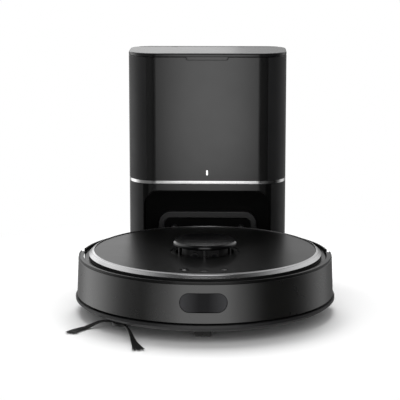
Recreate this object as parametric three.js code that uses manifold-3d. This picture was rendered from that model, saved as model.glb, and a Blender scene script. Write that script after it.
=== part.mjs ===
// Robot vacuum standing in its self-emptying dock. Millimetres, +Z up.
// The model is laid out about the robot's vertical axis, with the robot's front at -Y and the dock behind it at +Y,
// and the whole group is then shifted by FRAME_Y, so that the origin is the middle of the footprint on the floor.
import * as THREE from 'three';
import { mergeVertices } from 'three/addons/utils/BufferGeometryUtils.js';
import Module from 'manifold-3d';

const wasm = await Module();
wasm.setup();

// ---------------------------------------------------------------- driving dimensions
const FRAME_Y = -18;          // shift of the whole model along Y
const GAP = 0.3;              // running gap between neighbouring pieces
const SEG = 48;               // facets round the robot's big circles

const SKIRT_R = 172;          // lip of the chassis under the bumper
const SKIRT_TOP = 22;
const PLATE_Z0 = 12;          // underside of the chassis
const PLATE_Z1 = 15.5;
const REAR_R = 165;           // rear shell
const RIM_Z = 76;
const DECK_Z = 72;            // ledge round the cover
const BUMPER_R_LOW = 169.9;
const BUMPER_R_TOP = 167.9;
const BUMPER_Z0 = 24.2;
const BUMPER_Z1 = 76.1;
const BUMPER_TIP_Y = 12;
const RING_R = 154;           // trim ring round the cover
const COVER_R = 147;
const COVER_Z0 = 78.7;
const COVER_Z1 = 81.2;
const TURRET_Y = -12;
const TURRET_R = 42;
const TURRET_TOP = 96.5;
const HINGE_Y = 149;          // cover hinge
const HINGE_Z = 75;

const WHEEL_R = 33;
const WHEEL_X0 = 107;
const WHEEL_X1 = 127;
const ARM_PIVOT = [48, 40];   // y, z of the wheel arm's pivot
const ROLLER_Y = -12;
const ROLLER_Z = 19.5;
const ROLLER_R = 19;
const HUB = [-103, -108.5];      // side brush
const CASTER_Y = -135;

const DOCK_W = 111;           // half width
const DOCK_ARC = 5;           // facets round each of the dock's corners
const DOCK_Y0 = 140;
const DOCK_Y1 = 250;
const DOCK_Z0 = 8.8;
const DOCK_SEAM = 321.9;
const DOCK_TOP = 327.2;
const BAY_W = 89;             // docking bay, half width
const BAY_TOP = 132.4;
const BAY_Y1 = 190;
const BASE_TOP = 8.5;
const LID_AXIS = [238.5, 324.2];
const PIN_X = 48;             // charging pins
const PIN_Z = 72.5;

// ---------------------------------------------------------------- solids
function solid(geometry) {
  const g = geometry.index ? geometry.toNonIndexed() : geometry.clone();
  for (const name of Object.keys(g.attributes)) if (name !== 'position') g.deleteAttribute(name);
  const m = mergeVertices(g, 1e-4);
  const tri = [];
  const index = m.index.array;
  for (let i = 0; i < index.length; i += 3) {
    const [a, b, c] = [index[i], index[i + 1], index[i + 2]];
    if (a !== b && b !== c && a !== c) tri.push(a, b, c);
  }
  const p = m.attributes.position.array;
  let volume = 0;
  for (let i = 0; i < tri.length; i += 3) {
    const [a, b, c] = [tri[i] * 3, tri[i + 1] * 3, tri[i + 2] * 3];
    volume += p[a] * (p[b + 1] * p[c + 2] - p[b + 2] * p[c + 1])
      - p[a + 1] * (p[b] * p[c + 2] - p[b + 2] * p[c])
      + p[a + 2] * (p[b] * p[c + 1] - p[b + 1] * p[c]);
  }
  if (volume < 0) for (let i = 0; i < tri.length; i += 3) [tri[i + 1], tri[i + 2]] = [tri[i + 2], tri[i + 1]];
  return new wasm.Manifold(new wasm.Mesh({
    numProp: 3, vertProperties: Float32Array.from(p), triVerts: Uint32Array.from(tri),
  }));
}
const join = (first, ...rest) => rest.reduce((a, b) => a.add(b), first);
const cut = (first, ...rest) => rest.reduce((a, b) => a.subtract(b), first);

function box(x0, x1, y0, y1, z0, z1) {
  const g = new THREE.BoxGeometry(x1 - x0, y1 - y0, z1 - z0);
  g.translate((x0 + x1) / 2, (y0 + y1) / 2, (z0 + z1) / 2);
  return solid(g);
}
function cyl(r, z0, z1, x = 0, y = 0, seg = 16) {
  const g = new THREE.CylinderGeometry(r, r, z1 - z0, seg);
  g.rotateX(Math.PI / 2);
  g.translate(x, y, (z0 + z1) / 2);
  return solid(g);
}
function cylX(r, x0, x1, y, z, seg = 16) {
  const g = new THREE.CylinderGeometry(r, r, x1 - x0, seg);
  g.rotateZ(Math.PI / 2);
  g.translate((x0 + x1) / 2, y, z);
  return solid(g);
}
function cylY(r, y0, y1, x, z, seg = 16) {
  const g = new THREE.CylinderGeometry(r, r, y1 - y0, seg);
  g.translate(x, (y0 + y1) / 2, z);
  return solid(g);
}
// profile: [radius, height] points about the Z axis, on the axis at both ends or closed on itself
function latheGeometry(profile, seg) {
  const pts = profile.map(([r, z]) => new THREE.Vector2(r, z));
  const first = profile[0];
  const last = profile[profile.length - 1];
  if (!(first[0] === 0 && last[0] === 0)) pts.push(pts[0].clone());
  const g = new THREE.LatheGeometry(pts, seg);
  g.rotateX(Math.PI / 2);
  return g;
}
function lathe(profile, seg = SEG, x = 0, y = 0) {
  const g = latheGeometry(profile, seg);
  g.translate(x, y, 0);
  return solid(g);
}
// a turned piece about an axis along X
function latheX(profile, seg, y, z) {
  const g = latheGeometry(profile, seg);
  g.rotateY(Math.PI / 2);
  g.translate(0, y, z);
  return solid(g);
}
function latheY(profile, seg, x, z) {
  const g = latheGeometry(profile, seg);
  g.rotateX(-Math.PI / 2);
  g.translate(x, 0, z);
  return solid(g);
}
const polygon = (points) => new THREE.Shape(points.map(([a, b]) => new THREE.Vector2(a, b)));
function extrudeZ(shape, z0, z1, options = {}) {
  const g = new THREE.ExtrudeGeometry(shape, { depth: z1 - z0, bevelEnabled: false, curveSegments: 4, ...options });
  g.translate(0, 0, z0);
  return solid(g);
}
// shape drawn in (x, z), pushed along Y
function extrudeY(shape, y0, y1, options = {}) {
  const g = new THREE.ExtrudeGeometry(shape, { depth: y1 - y0, bevelEnabled: false, curveSegments: 4, ...options });
  g.rotateX(Math.PI / 2);
  g.translate(0, y1, 0);
  return solid(g);
}
// shape drawn in (y, z), pushed along X
function extrudeX(shape, x0, x1, options = {}) {
  const g = new THREE.ExtrudeGeometry(shape, { depth: x1 - x0, bevelEnabled: false, curveSegments: 4, ...options });
  g.applyMatrix4(new THREE.Matrix4().set(0, 0, 1, 0, 1, 0, 0, 0, 0, 1, 0, 0, 0, 0, 0, 1));
  g.translate(x0, 0, 0);
  return solid(g);
}
function roundRect(x0, x1, y0, y1, lowR, highR = lowR) {
  const s = new THREE.Shape();
  s.moveTo(x0 + lowR, y0);
  s.lineTo(x1 - lowR, y0);
  s.absarc(x1 - lowR, y0 + lowR, lowR, -Math.PI / 2, 0, false);
  s.lineTo(x1, y1 - highR);
  s.absarc(x1 - highR, y1 - highR, highR, 0, Math.PI / 2, false);
  s.lineTo(x0 + highR, y1);
  s.absarc(x0 + highR, y1 - highR, highR, Math.PI / 2, Math.PI, false);
  s.lineTo(x0, y0 + lowR);
  s.absarc(x0 + lowR, y0 + lowR, lowR, Math.PI, Math.PI * 1.5, false);
  return s;
}
const front = (y) => box(-200, 200, -200, y, -10, 500);
const rear = (y) => box(-200, 200, y, 400, -10, 500);

// ---------------------------------------------------------------- the group
const group = new THREE.Group();
group.position.y = FRAME_Y;
const finishes = {
  satin_black: ['#2b2b2b', 0.45, 0], gloss_black: ['#0e0e0f', 0.2, 0], graphite: ['#4a4a4b', 0.38, 0.1],
  silver: ['#bcbcbe', 0.35, 0.6], dark: ['#1b1b1c', 0.6, 0], rubber: ['#202020', 0.85, 0], steel: ['#9a9a9c', 0.35, 1],
  green: ['#1e5a38', 0.5, 0], white: ['#f2f2f2', 0.4, 0], smoke: ['#3a3f44', 0.25, 0], felt: ['#d8d2c6', 0.9, 0],
  brass: ['#b9964a', 0.3, 1], blue: ['#3b5c86', 0.6, 0],
};
function add(name, body, finish) {
  const m = body.getMesh();
  const g = new THREE.BufferGeometry();
  const n = m.numProp;
  const p = new Float32Array((m.vertProperties.length / n) * 3);
  for (let i = 0; i < p.length / 3; i++) for (let k = 0; k < 3; k++) p[i * 3 + k] = m.vertProperties[i * n + k];
  g.setAttribute('position', new THREE.BufferAttribute(p, 3));
  g.setIndex(new THREE.BufferAttribute(Uint32Array.from(m.triVerts), 1));
  g.computeVertexNormals();
  const [color, roughness, metalness] = finishes[finish];
  const mesh = new THREE.Mesh(g, new THREE.MeshStandardMaterial({ color, roughness, metalness }));
  mesh.name = name;
  group.add(mesh);
}
const sides = [['left', -1], ['right', 1]];
const spanX = (s, a, b) => (s > 0 ? [a, b] : [-b, -a]);
const boxS = (s, a, b, y0, y1, z0, z1) => box(...spanX(s, a, b), y0, y1, z0, z1);
const cylXS = (s, r, a, b, y, z, seg = 16) => cylX(r, ...spanX(s, a, b), y, z, seg);

// ================================================================ robot: chassis
const CLIFF = [['cliff_sensor_left', -112, -86], ['cliff_sensor_right', 112, -86]];
{
  let body = lathe([[0, PLATE_Z0], [161, PLATE_Z0], [167.6, 14.8], [SKIRT_R, 18.4], [SKIRT_R, 21.4], [SKIRT_R - 0.6, SKIRT_TOP],
    [160.5, SKIRT_TOP], [160.5, PLATE_Z1], [0, PLATE_Z1]], SEG);
  body = body.intersect(join(front(20), cyl(REAR_R, -5, 60, 0, 0, SEG)));
  body = body.add(cyl(18.8, 14, 23.4, 0, CASTER_Y, 20)).add(cyl(8, 20, 34, 0, CASTER_Y, 16));
  for (const [, s] of sides) {
    // ears that carry the wheel arm's pivot
    body = body.add(boxS(s, 85.5, 89.3, 43, 53, 14, 46)).add(boxS(s, 106.2, 110, 43, 53, 14, 46));
  }
  // bearing post for the far end of the main brush
  body = body.add(box(79.6, 84, -20, -4, 14, 30));
  body = cut(body,
    cyl(17, 5, 20.9, 0, CASTER_Y, 20), cyl(4.3, 10, 40, 0, CASTER_Y, 12),
    box(-79, 79, -34, 10, 5, 20),
    cylX(4.3, 70, 90, ROLLER_Y, ROLLER_Z, 12),
    cyl(4.4, 5, 20, HUB[0], HUB[1], 12),
    box(-20, 20, 99, 119, 5, 20));
  for (const [, s] of sides) {
    body = cut(body, boxS(s, 104.5, 131, -38, 42, 5, 18), boxS(s, 89.2, 106.3, -22, 36, 5, 18), cylXS(s, 3.3, 80, 115, ...ARM_PIVOT, 12));
  }
  for (const [, x, y] of CLIFF) body = body.subtract(box(x - 10.3, x + 10.3, y - 4.8, y + 4.8, 5, 20));
  add('chassis', body, 'dark');
}
for (const [name, x, y] of CLIFF) {
  add(name, join(box(x - 10, x + 10, y - 4.5, y + 4.5, 11.8, 17), box(x - 7, x + 7, y - 3.5, y + 3.5, 16.5, 22)), 'smoke');
}

// ================================================================ robot: upper casing
const binOutline = (grow) => {
  const r = 141 + grow;
  const w = 72 + grow;
  const pts = [[-w, 27.6 - grow], [w, 27.6 - grow]];
  const a0 = Math.acos(w / r);
  for (let i = 0; i <= 12; i++) {
    const a = a0 + (Math.PI - 2 * a0) * (i / 12);
    pts.push([r * Math.cos(a), r * Math.sin(a)]);
  }
  return polygon(pts);
};
{
  const wall = lathe([[162.4, 22.3], [REAR_R, 22.3], [REAR_R, 75.3], [164.4, RIM_Z], [163, RIM_Z], [162.4, 75.4]], SEG).intersect(rear(26));
  const deckFront = cyl(159.5, 69.5, DECK_Z, 0, 0, SEG);
  const deckRear = cyl(163.6, 69.5, DECK_Z, 0, 0, SEG).intersect(rear(26));
  const inner = lathe([[155, 16.3], [157.5, 16.3], [157.5, 70], [155, 70]], SEG).intersect(front(27));
  const ring = lathe([[156, 22.3], [163.6, 22.3], [163.6, DECK_Z], [156, DECK_Z]], SEG);
  let body = join(wall, deckFront, deckRear, inner);
  for (const [, s] of sides) {
    body = body.add(ring.intersect(boxS(s, 120, 180, 25, 29, 0, 200)));
    // ears of the cover hinge
    body = body.add(boxS(s, 31.4, 36, 146.2, 151.8, 70.5, HINGE_Z)).add(cylXS(s, 2.8, 31.4, 36, HINGE_Y, HINGE_Z, 12));
  }
  body = cut(body,
    cyl(37, 60, 80, 0, TURRET_Y, 32),
    extrudeZ(binOutline(0.6), 60, 80),
    box(-31, 31, 144, 156, 60, 74),
    cyl(10.8, 0, 44, HUB[0], HUB[1], 16),
    cylX(1.8, -40, 40, HINGE_Y, HINGE_Z, 12));
  for (const [, s] of sides) {
    const pocket = lathe([[163.4, 60], [168, 60], [168, 75.8], [163.4, 75.8]], SEG).intersect(boxS(s, 40.7, 55.3, 100, 200, 62.7, 75.8));
    body = body.subtract(pocket);
  }
  for (let i = 0; i < 6; i++) body = body.subtract(box(120, 180, 52 + 7 * i, 55.5 + 7 * i, 34, 60));
  add('upper_casing', body, 'satin_black');
}
for (const [side, s] of sides) {
  const pad = lathe([[163.7, 62], [REAR_R + 0.1, 62], [REAR_R + 0.1, 76.5], [163.7, 76.5]], SEG).intersect(boxS(s, 41, 55, 100, 200, 63, 75.4));
  add(`contact_pad_${side}`, pad, 'steel');
}
add('cover_hinge_pin', cylX(1.5, -35.8, 35.8, HINGE_Y, HINGE_Z, 12), 'steel');

// ================================================================ robot: bumper
const bumperR = (z) => BUMPER_R_LOW + (BUMPER_R_TOP - BUMPER_R_LOW) * (z - 25) / 48;
{
  let body = lathe([[167.3, BUMPER_Z0], [169.5, BUMPER_Z0], [169.9, 24.9], [bumperR(49), 49], [BUMPER_R_TOP, 73], [167.3, 75.4], [166.2, BUMPER_Z1],
    [161.6, BUMPER_Z1], [161, 75.6], [161, 73.6], [165.3, 73.2]], SEG).intersect(front(BUMPER_TIP_Y));
  body = body.subtract(extrudeY(roundRect(-29, 31, 37.6, 62.5, 12.4), -180, -150));
  add('bumper', body, 'graphite');
  const lens = lathe([[167.6, 30], [169.7, 30], [bumperR(49), 49], [168.4, 68], [166.2, 68]], SEG);
  add('sensor_window', lens.intersect(extrudeY(roundRect(-28.65, 30.65, 37.95, 62.15, 12.05), -180, -150)), 'smoke');
}
for (const [side, s] of sides) {
  // short coil between the casing's front wall and the bumper
  const pts = [];
  const turns = 3.5;
  for (let i = 0; i <= 30; i++) {
    const t = i / 30;
    const a = t * turns * 2 * Math.PI;
    pts.push(new THREE.Vector3(s * 62 + 3 * Math.cos(a), -151.6 + 4.8 * t, 55 + 3 * Math.sin(a)));
  }
  const section = new THREE.Shape();
  section.absarc(0, 0, 0.45, 0, Math.PI * 2, false);
  const g = new THREE.ExtrudeGeometry(section, { steps: 30, curveSegments: 2, bevelEnabled: false, extrudePath: new THREE.CatmullRomCurve3(pts) });
  add(`bumper_spring_${side}`, solid(g), 'steel');
}

// ================================================================ robot: top cover
const BUTTONS = [['button_home', -24, -122], ['button_power', 1, -128], ['button_spot', 26, -119]];
{
  let body = lathe([[0, COVER_Z0], [COVER_R, COVER_Z0], [COVER_R, 80.6], [146.2, COVER_Z1], [0, COVER_Z1]], SEG);
  body = body.add(extrudeX(polygon([[143.5, 79], [143.5, 73.5], [146, 72.2], [151.5, 72.2], [151.8, 75], [150.5, 78.3], [147, 78.3], [146.6, 79]]), -30, 30));
  body = cut(body, cyl(45, 60, 90, 0, TURRET_Y, 32), cylX(1.8, -40, 40, HINGE_Y, HINGE_Z, 12));
  for (const [, x, y] of BUTTONS) body = body.subtract(cyl(5.6, 60, 90, x, y, 12));
  add('top_cover', body, 'satin_black');
  let ring = lathe([[143, 72.6], [RING_R, 72.6], [RING_R, 77.7], [147.3, COVER_Z1], [147.3, 78.4], [143, 78.4]], SEG);
  ring = cut(ring, box(-37.5, 37.5, 138, 160, 60, 79.3), box(-20, 20, -160, -151.6, 60, 75.6));
  add('cover_trim_ring', ring, 'silver');
}
for (const [name, x, y] of BUTTONS) {
  add(name, lathe([[0, 76.5], [6.6, 76.5], [6.6, 78.1], [5.2, 78.1], [5.2, 81], [0, 81]], 12, x, y), 'satin_black');
}

// ================================================================ robot: laser turret
{
  let guard = lathe([[38.4, 72.4], [40, 72.4], [40, 77.6], [44.4, 77.6], [44.4, 81], [39.6, 81], [39.2, 81.8], [38.4, 81.8]], 28, 0, TURRET_Y);
  guard = guard.add(lathe([[0, 90.3], [40, 90.3], [TURRET_R, 91.6], [TURRET_R, 94.2], [39.8, TURRET_TOP], [0, TURRET_TOP]], 28, 0, TURRET_Y));
  for (let k = 0; k < 6; k++) {
    const a = -Math.PI / 2 + (k * Math.PI) / 3;
    const g = new THREE.BoxGeometry(2.6, 2.6, 9.4);
    g.translate(37.9, 0, 86);
    g.rotateZ(a);
    g.translate(0, TURRET_Y, 0);
    guard = guard.add(solid(g));
  }
  add('lidar_guard', guard, 'gloss_black');
  let rotor = lathe([[0, 48], [6, 48], [6, 60.5], [33, 60.5], [33, 62.2], [31.5, 62.2], [31.5, 65.8], [33, 65.8], [33, 67.5], [31, 69], [30, 89.4], [0, 89.4]], 24, 0, TURRET_Y);
  rotor = rotor.subtract(box(-40, 40, TURRET_Y - 40, TURRET_Y - 24, 68, 92));
  for (const x of [-13, 13]) rotor = rotor.add(cylY(6, TURRET_Y - 27, TURRET_Y - 20, x, 79, 12));
  add('lidar_rotor', rotor, 'dark');
  let base = cyl(35.6, 44, 46.5, 0, TURRET_Y, 28).add(box(28, 58, TURRET_Y - 11, TURRET_Y + 11, 44, 46.5)).add(cyl(10, 45, 60.1, 0, TURRET_Y, 16));
  base = base.subtract(cyl(6.3, 40, 70, 0, TURRET_Y, 16));
  add('lidar_base', base, 'dark');
  let motor = cyl(8, 46.9, 59.4, 47, TURRET_Y, 16);
  motor = motor.add(cyl(5, 58, 60.4, 47, TURRET_Y, 12)).subtract(cyl(1.9, 57, 70, 47, TURRET_Y, 12));
  add('lidar_motor', motor, 'steel');
  const pulley = lathe([[0, 58], [1.5, 58], [1.5, 60.9], [5, 60.9], [5, 62.2], [3.7, 62.2], [3.7, 65.8], [5, 65.8], [5, 67], [0, 67]], 12, 47, TURRET_Y);
  add('lidar_pulley', pulley, 'brass');
  const loop = (rBig, rSmall, d) => {
    const a = Math.acos((rBig - rSmall) / d);
    const pts = [];
    for (let i = 0; i <= 30; i++) {
      const t = a + (2 * Math.PI - 2 * a) * (i / 30);
      pts.push([rBig * Math.cos(t), TURRET_Y + rBig * Math.sin(t)]);
    }
    for (let i = 0; i <= 8; i++) {
      const t = -a + 2 * a * (i / 8);
      pts.push([d + rSmall * Math.cos(t), TURRET_Y + rSmall * Math.sin(t)]);
    }
    return polygon(pts);
  };
  add('lidar_belt', extrudeZ(loop(33, 5.2, 47), 62.5, 65.5).subtract(extrudeZ(loop(31.85, 4.05, 47), 60, 70)), 'rubber');
}

// ================================================================ robot: inside
add('main_board', join(box(-66, 66, -114, -52, 43.4, 45), box(-20, 0, -96, -76, 44.8, 47), box(14, 34, -90, -74, 44.8, 46.6),
  box(-56, -30, -112, -104, 44.8, 50), box(40, 60, -112, -100, 44.8, 51)), 'green');
add('battery', join(extrudeX(roundRect(-112, -58, 16.2, 40, 4), -62, 62), box(-62, -50, -60, -54, 22, 34)), 'blue');
{
  let fan = cyl(24, 18, 54, 99.5, 88, 28).add(box(84, 112, 60, 66, 24, 46).add(box(88, 110, 62, 90, 24, 46)));
  fan = fan.subtract(cyl(10, 40, 60, 99.5, 88, 16));
  add('suction_fan', fan, 'dark');
}
{
  let bin = extrudeZ(binOutline(0), 16, 71.2).subtract(extrudeZ(binOutline(-2.2), 18.2, 69));
  bin = cut(bin, box(-50, 50, 20, 34, 24, 52), box(-18, 18, 101, 117, 10, 20), box(66, 80, 54, 112, 24, 60));
  bin = join(bin, box(-22, 22, 70, 73, 70.8, 75), box(-22, 22, 84, 87, 70.8, 75));
  add('dustbin', bin, 'smoke');
  const pleats = [];
  const n = 9;
  pleats.push([69.2, 54.5]);
  for (let i = 0; i < n; i++) pleats.push([71.9, 54.5 + 57 * (i + 0.25) / n], [70.2, 54.5 + 57 * (i + 0.75) / n]);
  pleats.push([71.9, 111.5], [69.2, 111.5]);
  pleats.splice(1, 0, [71.9, 54.5]);
  add('dustbin_filter', extrudeZ(polygon(pleats.reverse()), 24.4, 59.6), 'felt');
}
{
  // main brush: six fins that sweep back from the middle
  const pts = [];
  for (let k = 0; k < 6; k++) {
    const a = (k * Math.PI) / 3;
    for (const [r, d] of [[12.5, -0.2], [ROLLER_R, -0.07], [ROLLER_R, 0.07], [12.5, 0.2]]) pts.push([r * Math.cos(a + d), r * Math.sin(a + d)]);
  }
  const g = new THREE.ExtrudeGeometry(polygon(pts), { depth: 152, steps: 6, bevelEnabled: false });
  g.applyMatrix4(new THREE.Matrix4().set(0, 0, 1, 0, 1, 0, 0, 0, 0, 1, 0, 0, 0, 0, 0, 1));
  g.translate(-76, 0, 0);
  const p = g.attributes.position;
  for (let i = 0; i < p.count; i++) {
    const t = 0.9 * Math.abs(p.getX(i)) / 76;
    const [y, z] = [p.getY(i), p.getZ(i)];
    p.setY(i, y * Math.cos(t) - z * Math.sin(t));
    p.setZ(i, y * Math.sin(t) + z * Math.cos(t));
  }
  g.translate(0, ROLLER_Y, ROLLER_Z);
  const roller = join(solid(g), cylX(4, -84, -75, ROLLER_Y, ROLLER_Z, 12), cylX(4, 75, 83, ROLLER_Y, ROLLER_Z, 12));
  add('brush_roller', roller, 'rubber');
}
{
  let box1 = join(box(-87, -79.6, -30, 6, 16, 58), cylX(9, -86, -46, -28, 53, 16));
  box1 = box1.subtract(cylX(4.3, -90, -70, ROLLER_Y, ROLLER_Z, 12));
  add('brush_gearbox', box1, 'dark');
}
{
  let guard = extrudeZ(roundRect(-88, 88, -41, 16, 4), 8.9, 11.7).subtract(box(-80, 80, -33, 9, 5, 15));
  add('brush_guard', guard, 'satin_black');
}
add('side_brush_motor', cyl(10, 16, 40, HUB[0], HUB[1], 16).subtract(cyl(4.2, 10, 30, HUB[0], HUB[1], 12)), 'steel');
add('side_brush_hub', lathe([[0, 5.6], [8.5, 5.6], [10, 6.8], [10, 11.2], [3.8, 11.2], [3.8, 28], [0, 28]], 16, ...HUB), 'dark');
const TUFTS = [[145, 0.97, 70], [-73, -0.04, 105.5], [40, 0.3, 80]];
{
  let brush = lathe([[10.3, 6.6], [13, 6.6], [13, 10], [10.3, 10]], 16, ...HUB);
  for (const [deg, bend, length] of TUFTS) {
    const a = (deg * Math.PI) / 180;
    const left = [];
    const right = [];
    const zs = [];
    for (let i = 0; i <= 8; i++) {
      const t = i / 8;
      const r = 11.5 + (length - 11.5) * t;
      const b = a + bend * t;
      const w = 1.6 + 3.1 * t;
      const drop = THREE.MathUtils.smoothstep(t, 0.28, 0.68);
      const [x, y] = [HUB[0] + r * Math.cos(b), HUB[1] + r * Math.sin(b)];
      const n = b + Math.PI / 2 + Math.atan((r * bend) / (length - 11.5));
      left.push([x + w * Math.cos(n), y + w * Math.sin(n)]);
      right.push([x - w * Math.cos(n), y - w * Math.sin(n)]);
      zs.push(7.2 - 6.6 * drop);
    }
    const h = 2.6;
    const pos = [];
    const quad = (p, q, r, s) => pos.push(...p, ...q, ...r, ...p, ...r, ...s);
    const at = (list, i, dz) => [list[i][0], list[i][1], zs[i] + dz];
    for (let i = 0; i < 8; i++) {
      quad(at(left, i, 0), at(left, i + 1, 0), at(right, i + 1, 0), at(right, i, 0));
      quad(at(left, i, h), at(right, i, h), at(right, i + 1, h), at(left, i + 1, h));
      quad(at(left, i, 0), at(left, i, h), at(left, i + 1, h), at(left, i + 1, 0));
      quad(at(right, i, 0), at(right, i + 1, 0), at(right, i + 1, h), at(right, i, h));
    }
    quad(at(left, 0, 0), at(right, 0, 0), at(right, 0, h), at(left, 0, h));
    quad(at(left, 8, 0), at(left, 8, h), at(right, 8, h), at(right, 8, 0));
    const g = new THREE.BufferGeometry();
    g.setAttribute('position', new THREE.BufferAttribute(new Float32Array(pos), 3));
    brush = brush.add(solid(g));
  }
  add('side_brush_bristles', brush, 'dark');
}

// ================================================================ robot: drive wheels and caster
for (const [side, s] of sides) {
  const [py, pz] = ARM_PIVOT;
  let arm = extrudeX(polygon([[58, 36], [58, 46], [50, 51], [20, 50], [-10, 42], [-12, 30], [-6, 23], [6, 22], [40, 28], [52, 30]]), ...spanX(s, 90, 105.6));
  arm = arm.add(cylXS(s, 3, 86, 109.6, py, pz, 12)).subtract(cylXS(s, 3.3, 80, 112, 0, WHEEL_R, 12));
  add(`wheel_arm_${side}`, arm, 'dark');
  const profile = [[0, 94], [3, 94], [3, 106.4], [25.6, 107], [25.6, WHEEL_X1], [20, WHEEL_X1], [18, 122], [8, 122], [7, 125.5], [0, 125.5]];
  const wheel = latheX(profile.map(([r, x]) => [r, s * x]), 20, 0, WHEEL_R);
  add(`wheel_${side}`, wheel, 'satin_black');
  const tread = [];
  for (let k = 0; k < 20; k++) {
    for (const [r, d] of [[WHEEL_R - 2.2, -0.14], [WHEEL_R / Math.cos(0.1), -0.1], [WHEEL_R / Math.cos(0.1), 0.1], [WHEEL_R - 2.2, 0.14]]) {
      const a = -Math.PI / 2 + (k * 2 * Math.PI) / 20 + d;
      tread.push([r * Math.cos(a), WHEEL_R + r * Math.sin(a)]);
    }
  }
  const tyre = extrudeX(polygon(tread), ...spanX(s, WHEEL_X0, WHEEL_X1)).subtract(cylXS(s, 26.2, 100, 140, 0, WHEEL_R, 16));
  add(`tyre_${side}`, tyre, 'rubber');
}
{
  const WY = CASTER_Y - 4.5;
  let fork = join(cyl(16.5, 11.6, 20.4, 0, CASTER_Y, 20), cyl(4, 20, 33, 0, CASTER_Y, 12));
  const cheeks = lathe([[0, 5], [12.5, 5], [16.5, 12], [0, 12]], 20, 0, CASTER_Y);
  fork = fork.add(cheeks);
  fork = cut(fork, box(-10.9, 10.9, CASTER_Y - 20, CASTER_Y + 20, 0, 9.4), cylX(9.4, -10.9, 10.9, WY, 9, 16), cylX(1.9, -14.6, 14.6, WY, 9, 12));
  add('caster_fork', fork, 'dark');
  add('caster_wheel', latheX([[0, -13], [1.6, -13], [1.6, -10.5], [7.6, -10.5], [9, -8], [9, 8], [7.6, 10.5], [1.6, 10.5], [1.6, 13], [0, 13]], 16, WY, 9), 'rubber');
}

// ================================================================ dock
const dockOutline = (o) => roundRect(-DOCK_W + o, DOCK_W - o, DOCK_Y0 + o, DOCK_Y1 - o, 40 - o, 30 - o);
{
  const opts = { curveSegments: DOCK_ARC };
  let body = extrudeZ(dockOutline(0), DOCK_Z0, DOCK_SEAM, opts);
  // fixed strip behind the lid
  body = body.add(extrudeZ(dockOutline(0), DOCK_SEAM - 2, DOCK_TOP, opts).intersect(rear(242)));
  const bayShape = roundRect(-BAY_W, BAY_W, -30, BAY_TOP, 10, 20);
  const chamber = extrudeZ(dockOutline(3), 138.4, 400, opts).intersect(front(400)).subtract(rear(242).intersect(box(-200, 200, 242, 400, 319.5, 400)));
  let lower = extrudeZ(dockOutline(3), DOCK_Z0 + 3, 135.4, opts);
  lower = lower.subtract(box(-BAY_W - 3, BAY_W + 3, 100, BAY_Y1 + 3, -10, 140));
  const flank = box(-200, 200, 100, 153, -10, 140);
  lower = lower.subtract(flank);
  body = cut(body, chamber, lower, extrudeY(bayShape, 120, BAY_Y1));
  // groove of the trim band, slot of the status light, finger notch, opening of the rear panel, duct hole
  const band = extrudeZ(dockOutline(-5), 143.3, 148.4, opts).subtract(extrudeZ(dockOutline(1.3), 140, 150, opts)).intersect(box(-200, 200, 100, 205.3, 140, 150));
  body = cut(body, band,
    box(-2, 2, 130, 160, 154.6, 164.4),
    extrudeY(polygon([[-27.5, 318.4], [27.5, 318.4], [30, 323], [-30, 323]]), 130, 141.8),
    box(-96, 96, 240, 260, 14, 128),
    box(-20.4, 20.4, 195.6, 232.4, 100, 145),
    box(-20.4, 20.4, 195.6, 232.4, 0, 20),
    box(30, 60, 200, 240, 130, 142));
  for (const x of [-48, 48]) body = body.add(cylX(2.9, x - 4, x + 4, ...LID_AXIS, 12)).add(box(x - 4, x + 4, 238.5, 243, 321.4, 326.9));
  body = body.subtract(cylX(1.6, -56, 56, ...LID_AXIS, 12));
  add('dock_housing', body, 'satin_black');
}
{
  const outer = new THREE.ExtrudeGeometry(dockOutline(1.4), { depth: 5, bevelEnabled: true, bevelThickness: 1.4, bevelSize: 1.4, bevelSegments: 1, curveSegments: DOCK_ARC });
  outer.translate(0, 0, DOCK_TOP - 6.4);
  let lid = solid(outer).intersect(box(-200, 200, 100, LID_AXIS[0], DOCK_SEAM + 0.6, 400));
  let rim = extrudeZ(dockOutline(3.6), 316.5, 324, { curveSegments: DOCK_ARC }).subtract(extrudeZ(dockOutline(5.8), 300, 330, { curveSegments: DOCK_ARC })).intersect(front(222));
  lid = lid.add(rim);
  const knuckles = [[-64, -52.4], [-43.6, 43.6], [52.4, 64]];
  for (const [a, b] of knuckles) lid = lid.add(cylX(2.9, a, b, ...LID_AXIS, 12)).add(box(a, b, 233, 238.5, 321.6, 326));
  for (const x of [-48, 48]) lid = lid.subtract(box(x - 4.4, x + 4.4, 234.9, 250, 310, 340));
  lid = lid.subtract(cylX(1.6, -60, 60, ...LID_AXIS, 12));
  add('dock_lid', lid, 'gloss_black');
  add('dock_lid_pin', cylX(1.3, -59, 59, ...LID_AXIS, 12), 'steel');
}
{
  const opts = { curveSegments: DOCK_ARC };
  const band = extrudeZ(dockOutline(0), 143.6, 148.1, opts).subtract(extrudeZ(dockOutline(1), 140, 150, opts)).intersect(box(-200, 200, 100, 205, 140, 150));
  add('dock_trim_band', band, 'silver');
  add('dock_light', join(box(-1.6, 1.6, 140.05, 146, 155, 164), box(-3.5, 3.5, 143.5, 146, 152, 167)), 'white');
}
{
  let plate = extrudeZ(roundRect(-109, 109, 142, 248, 36, 28), 1.2, BASE_TOP, { curveSegments: 8 });
  plate = plate.add(extrudeX(polygon([[20, 0.8], [20, 1.6], [48, BASE_TOP], [170, BASE_TOP], [170, 0.8]]), -75, 75));
  plate = plate.subtract(box(-20.3, 20.3, 92.7, 232.3, -1, 20));
  plate = plate.add(box(-20.5, 20.5, 90, 170, 0.5, 0.9));
  plate = plate.add(box(-20.5, 20.5, 169, 233, 1.2, 1.7));
  for (const [, s] of sides) plate = plate.subtract(boxS(s, 73.6, 90.4, 157.6, 234.4, -2, 4));
  add('dock_base_plate', plate, 'dark');
}
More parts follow.
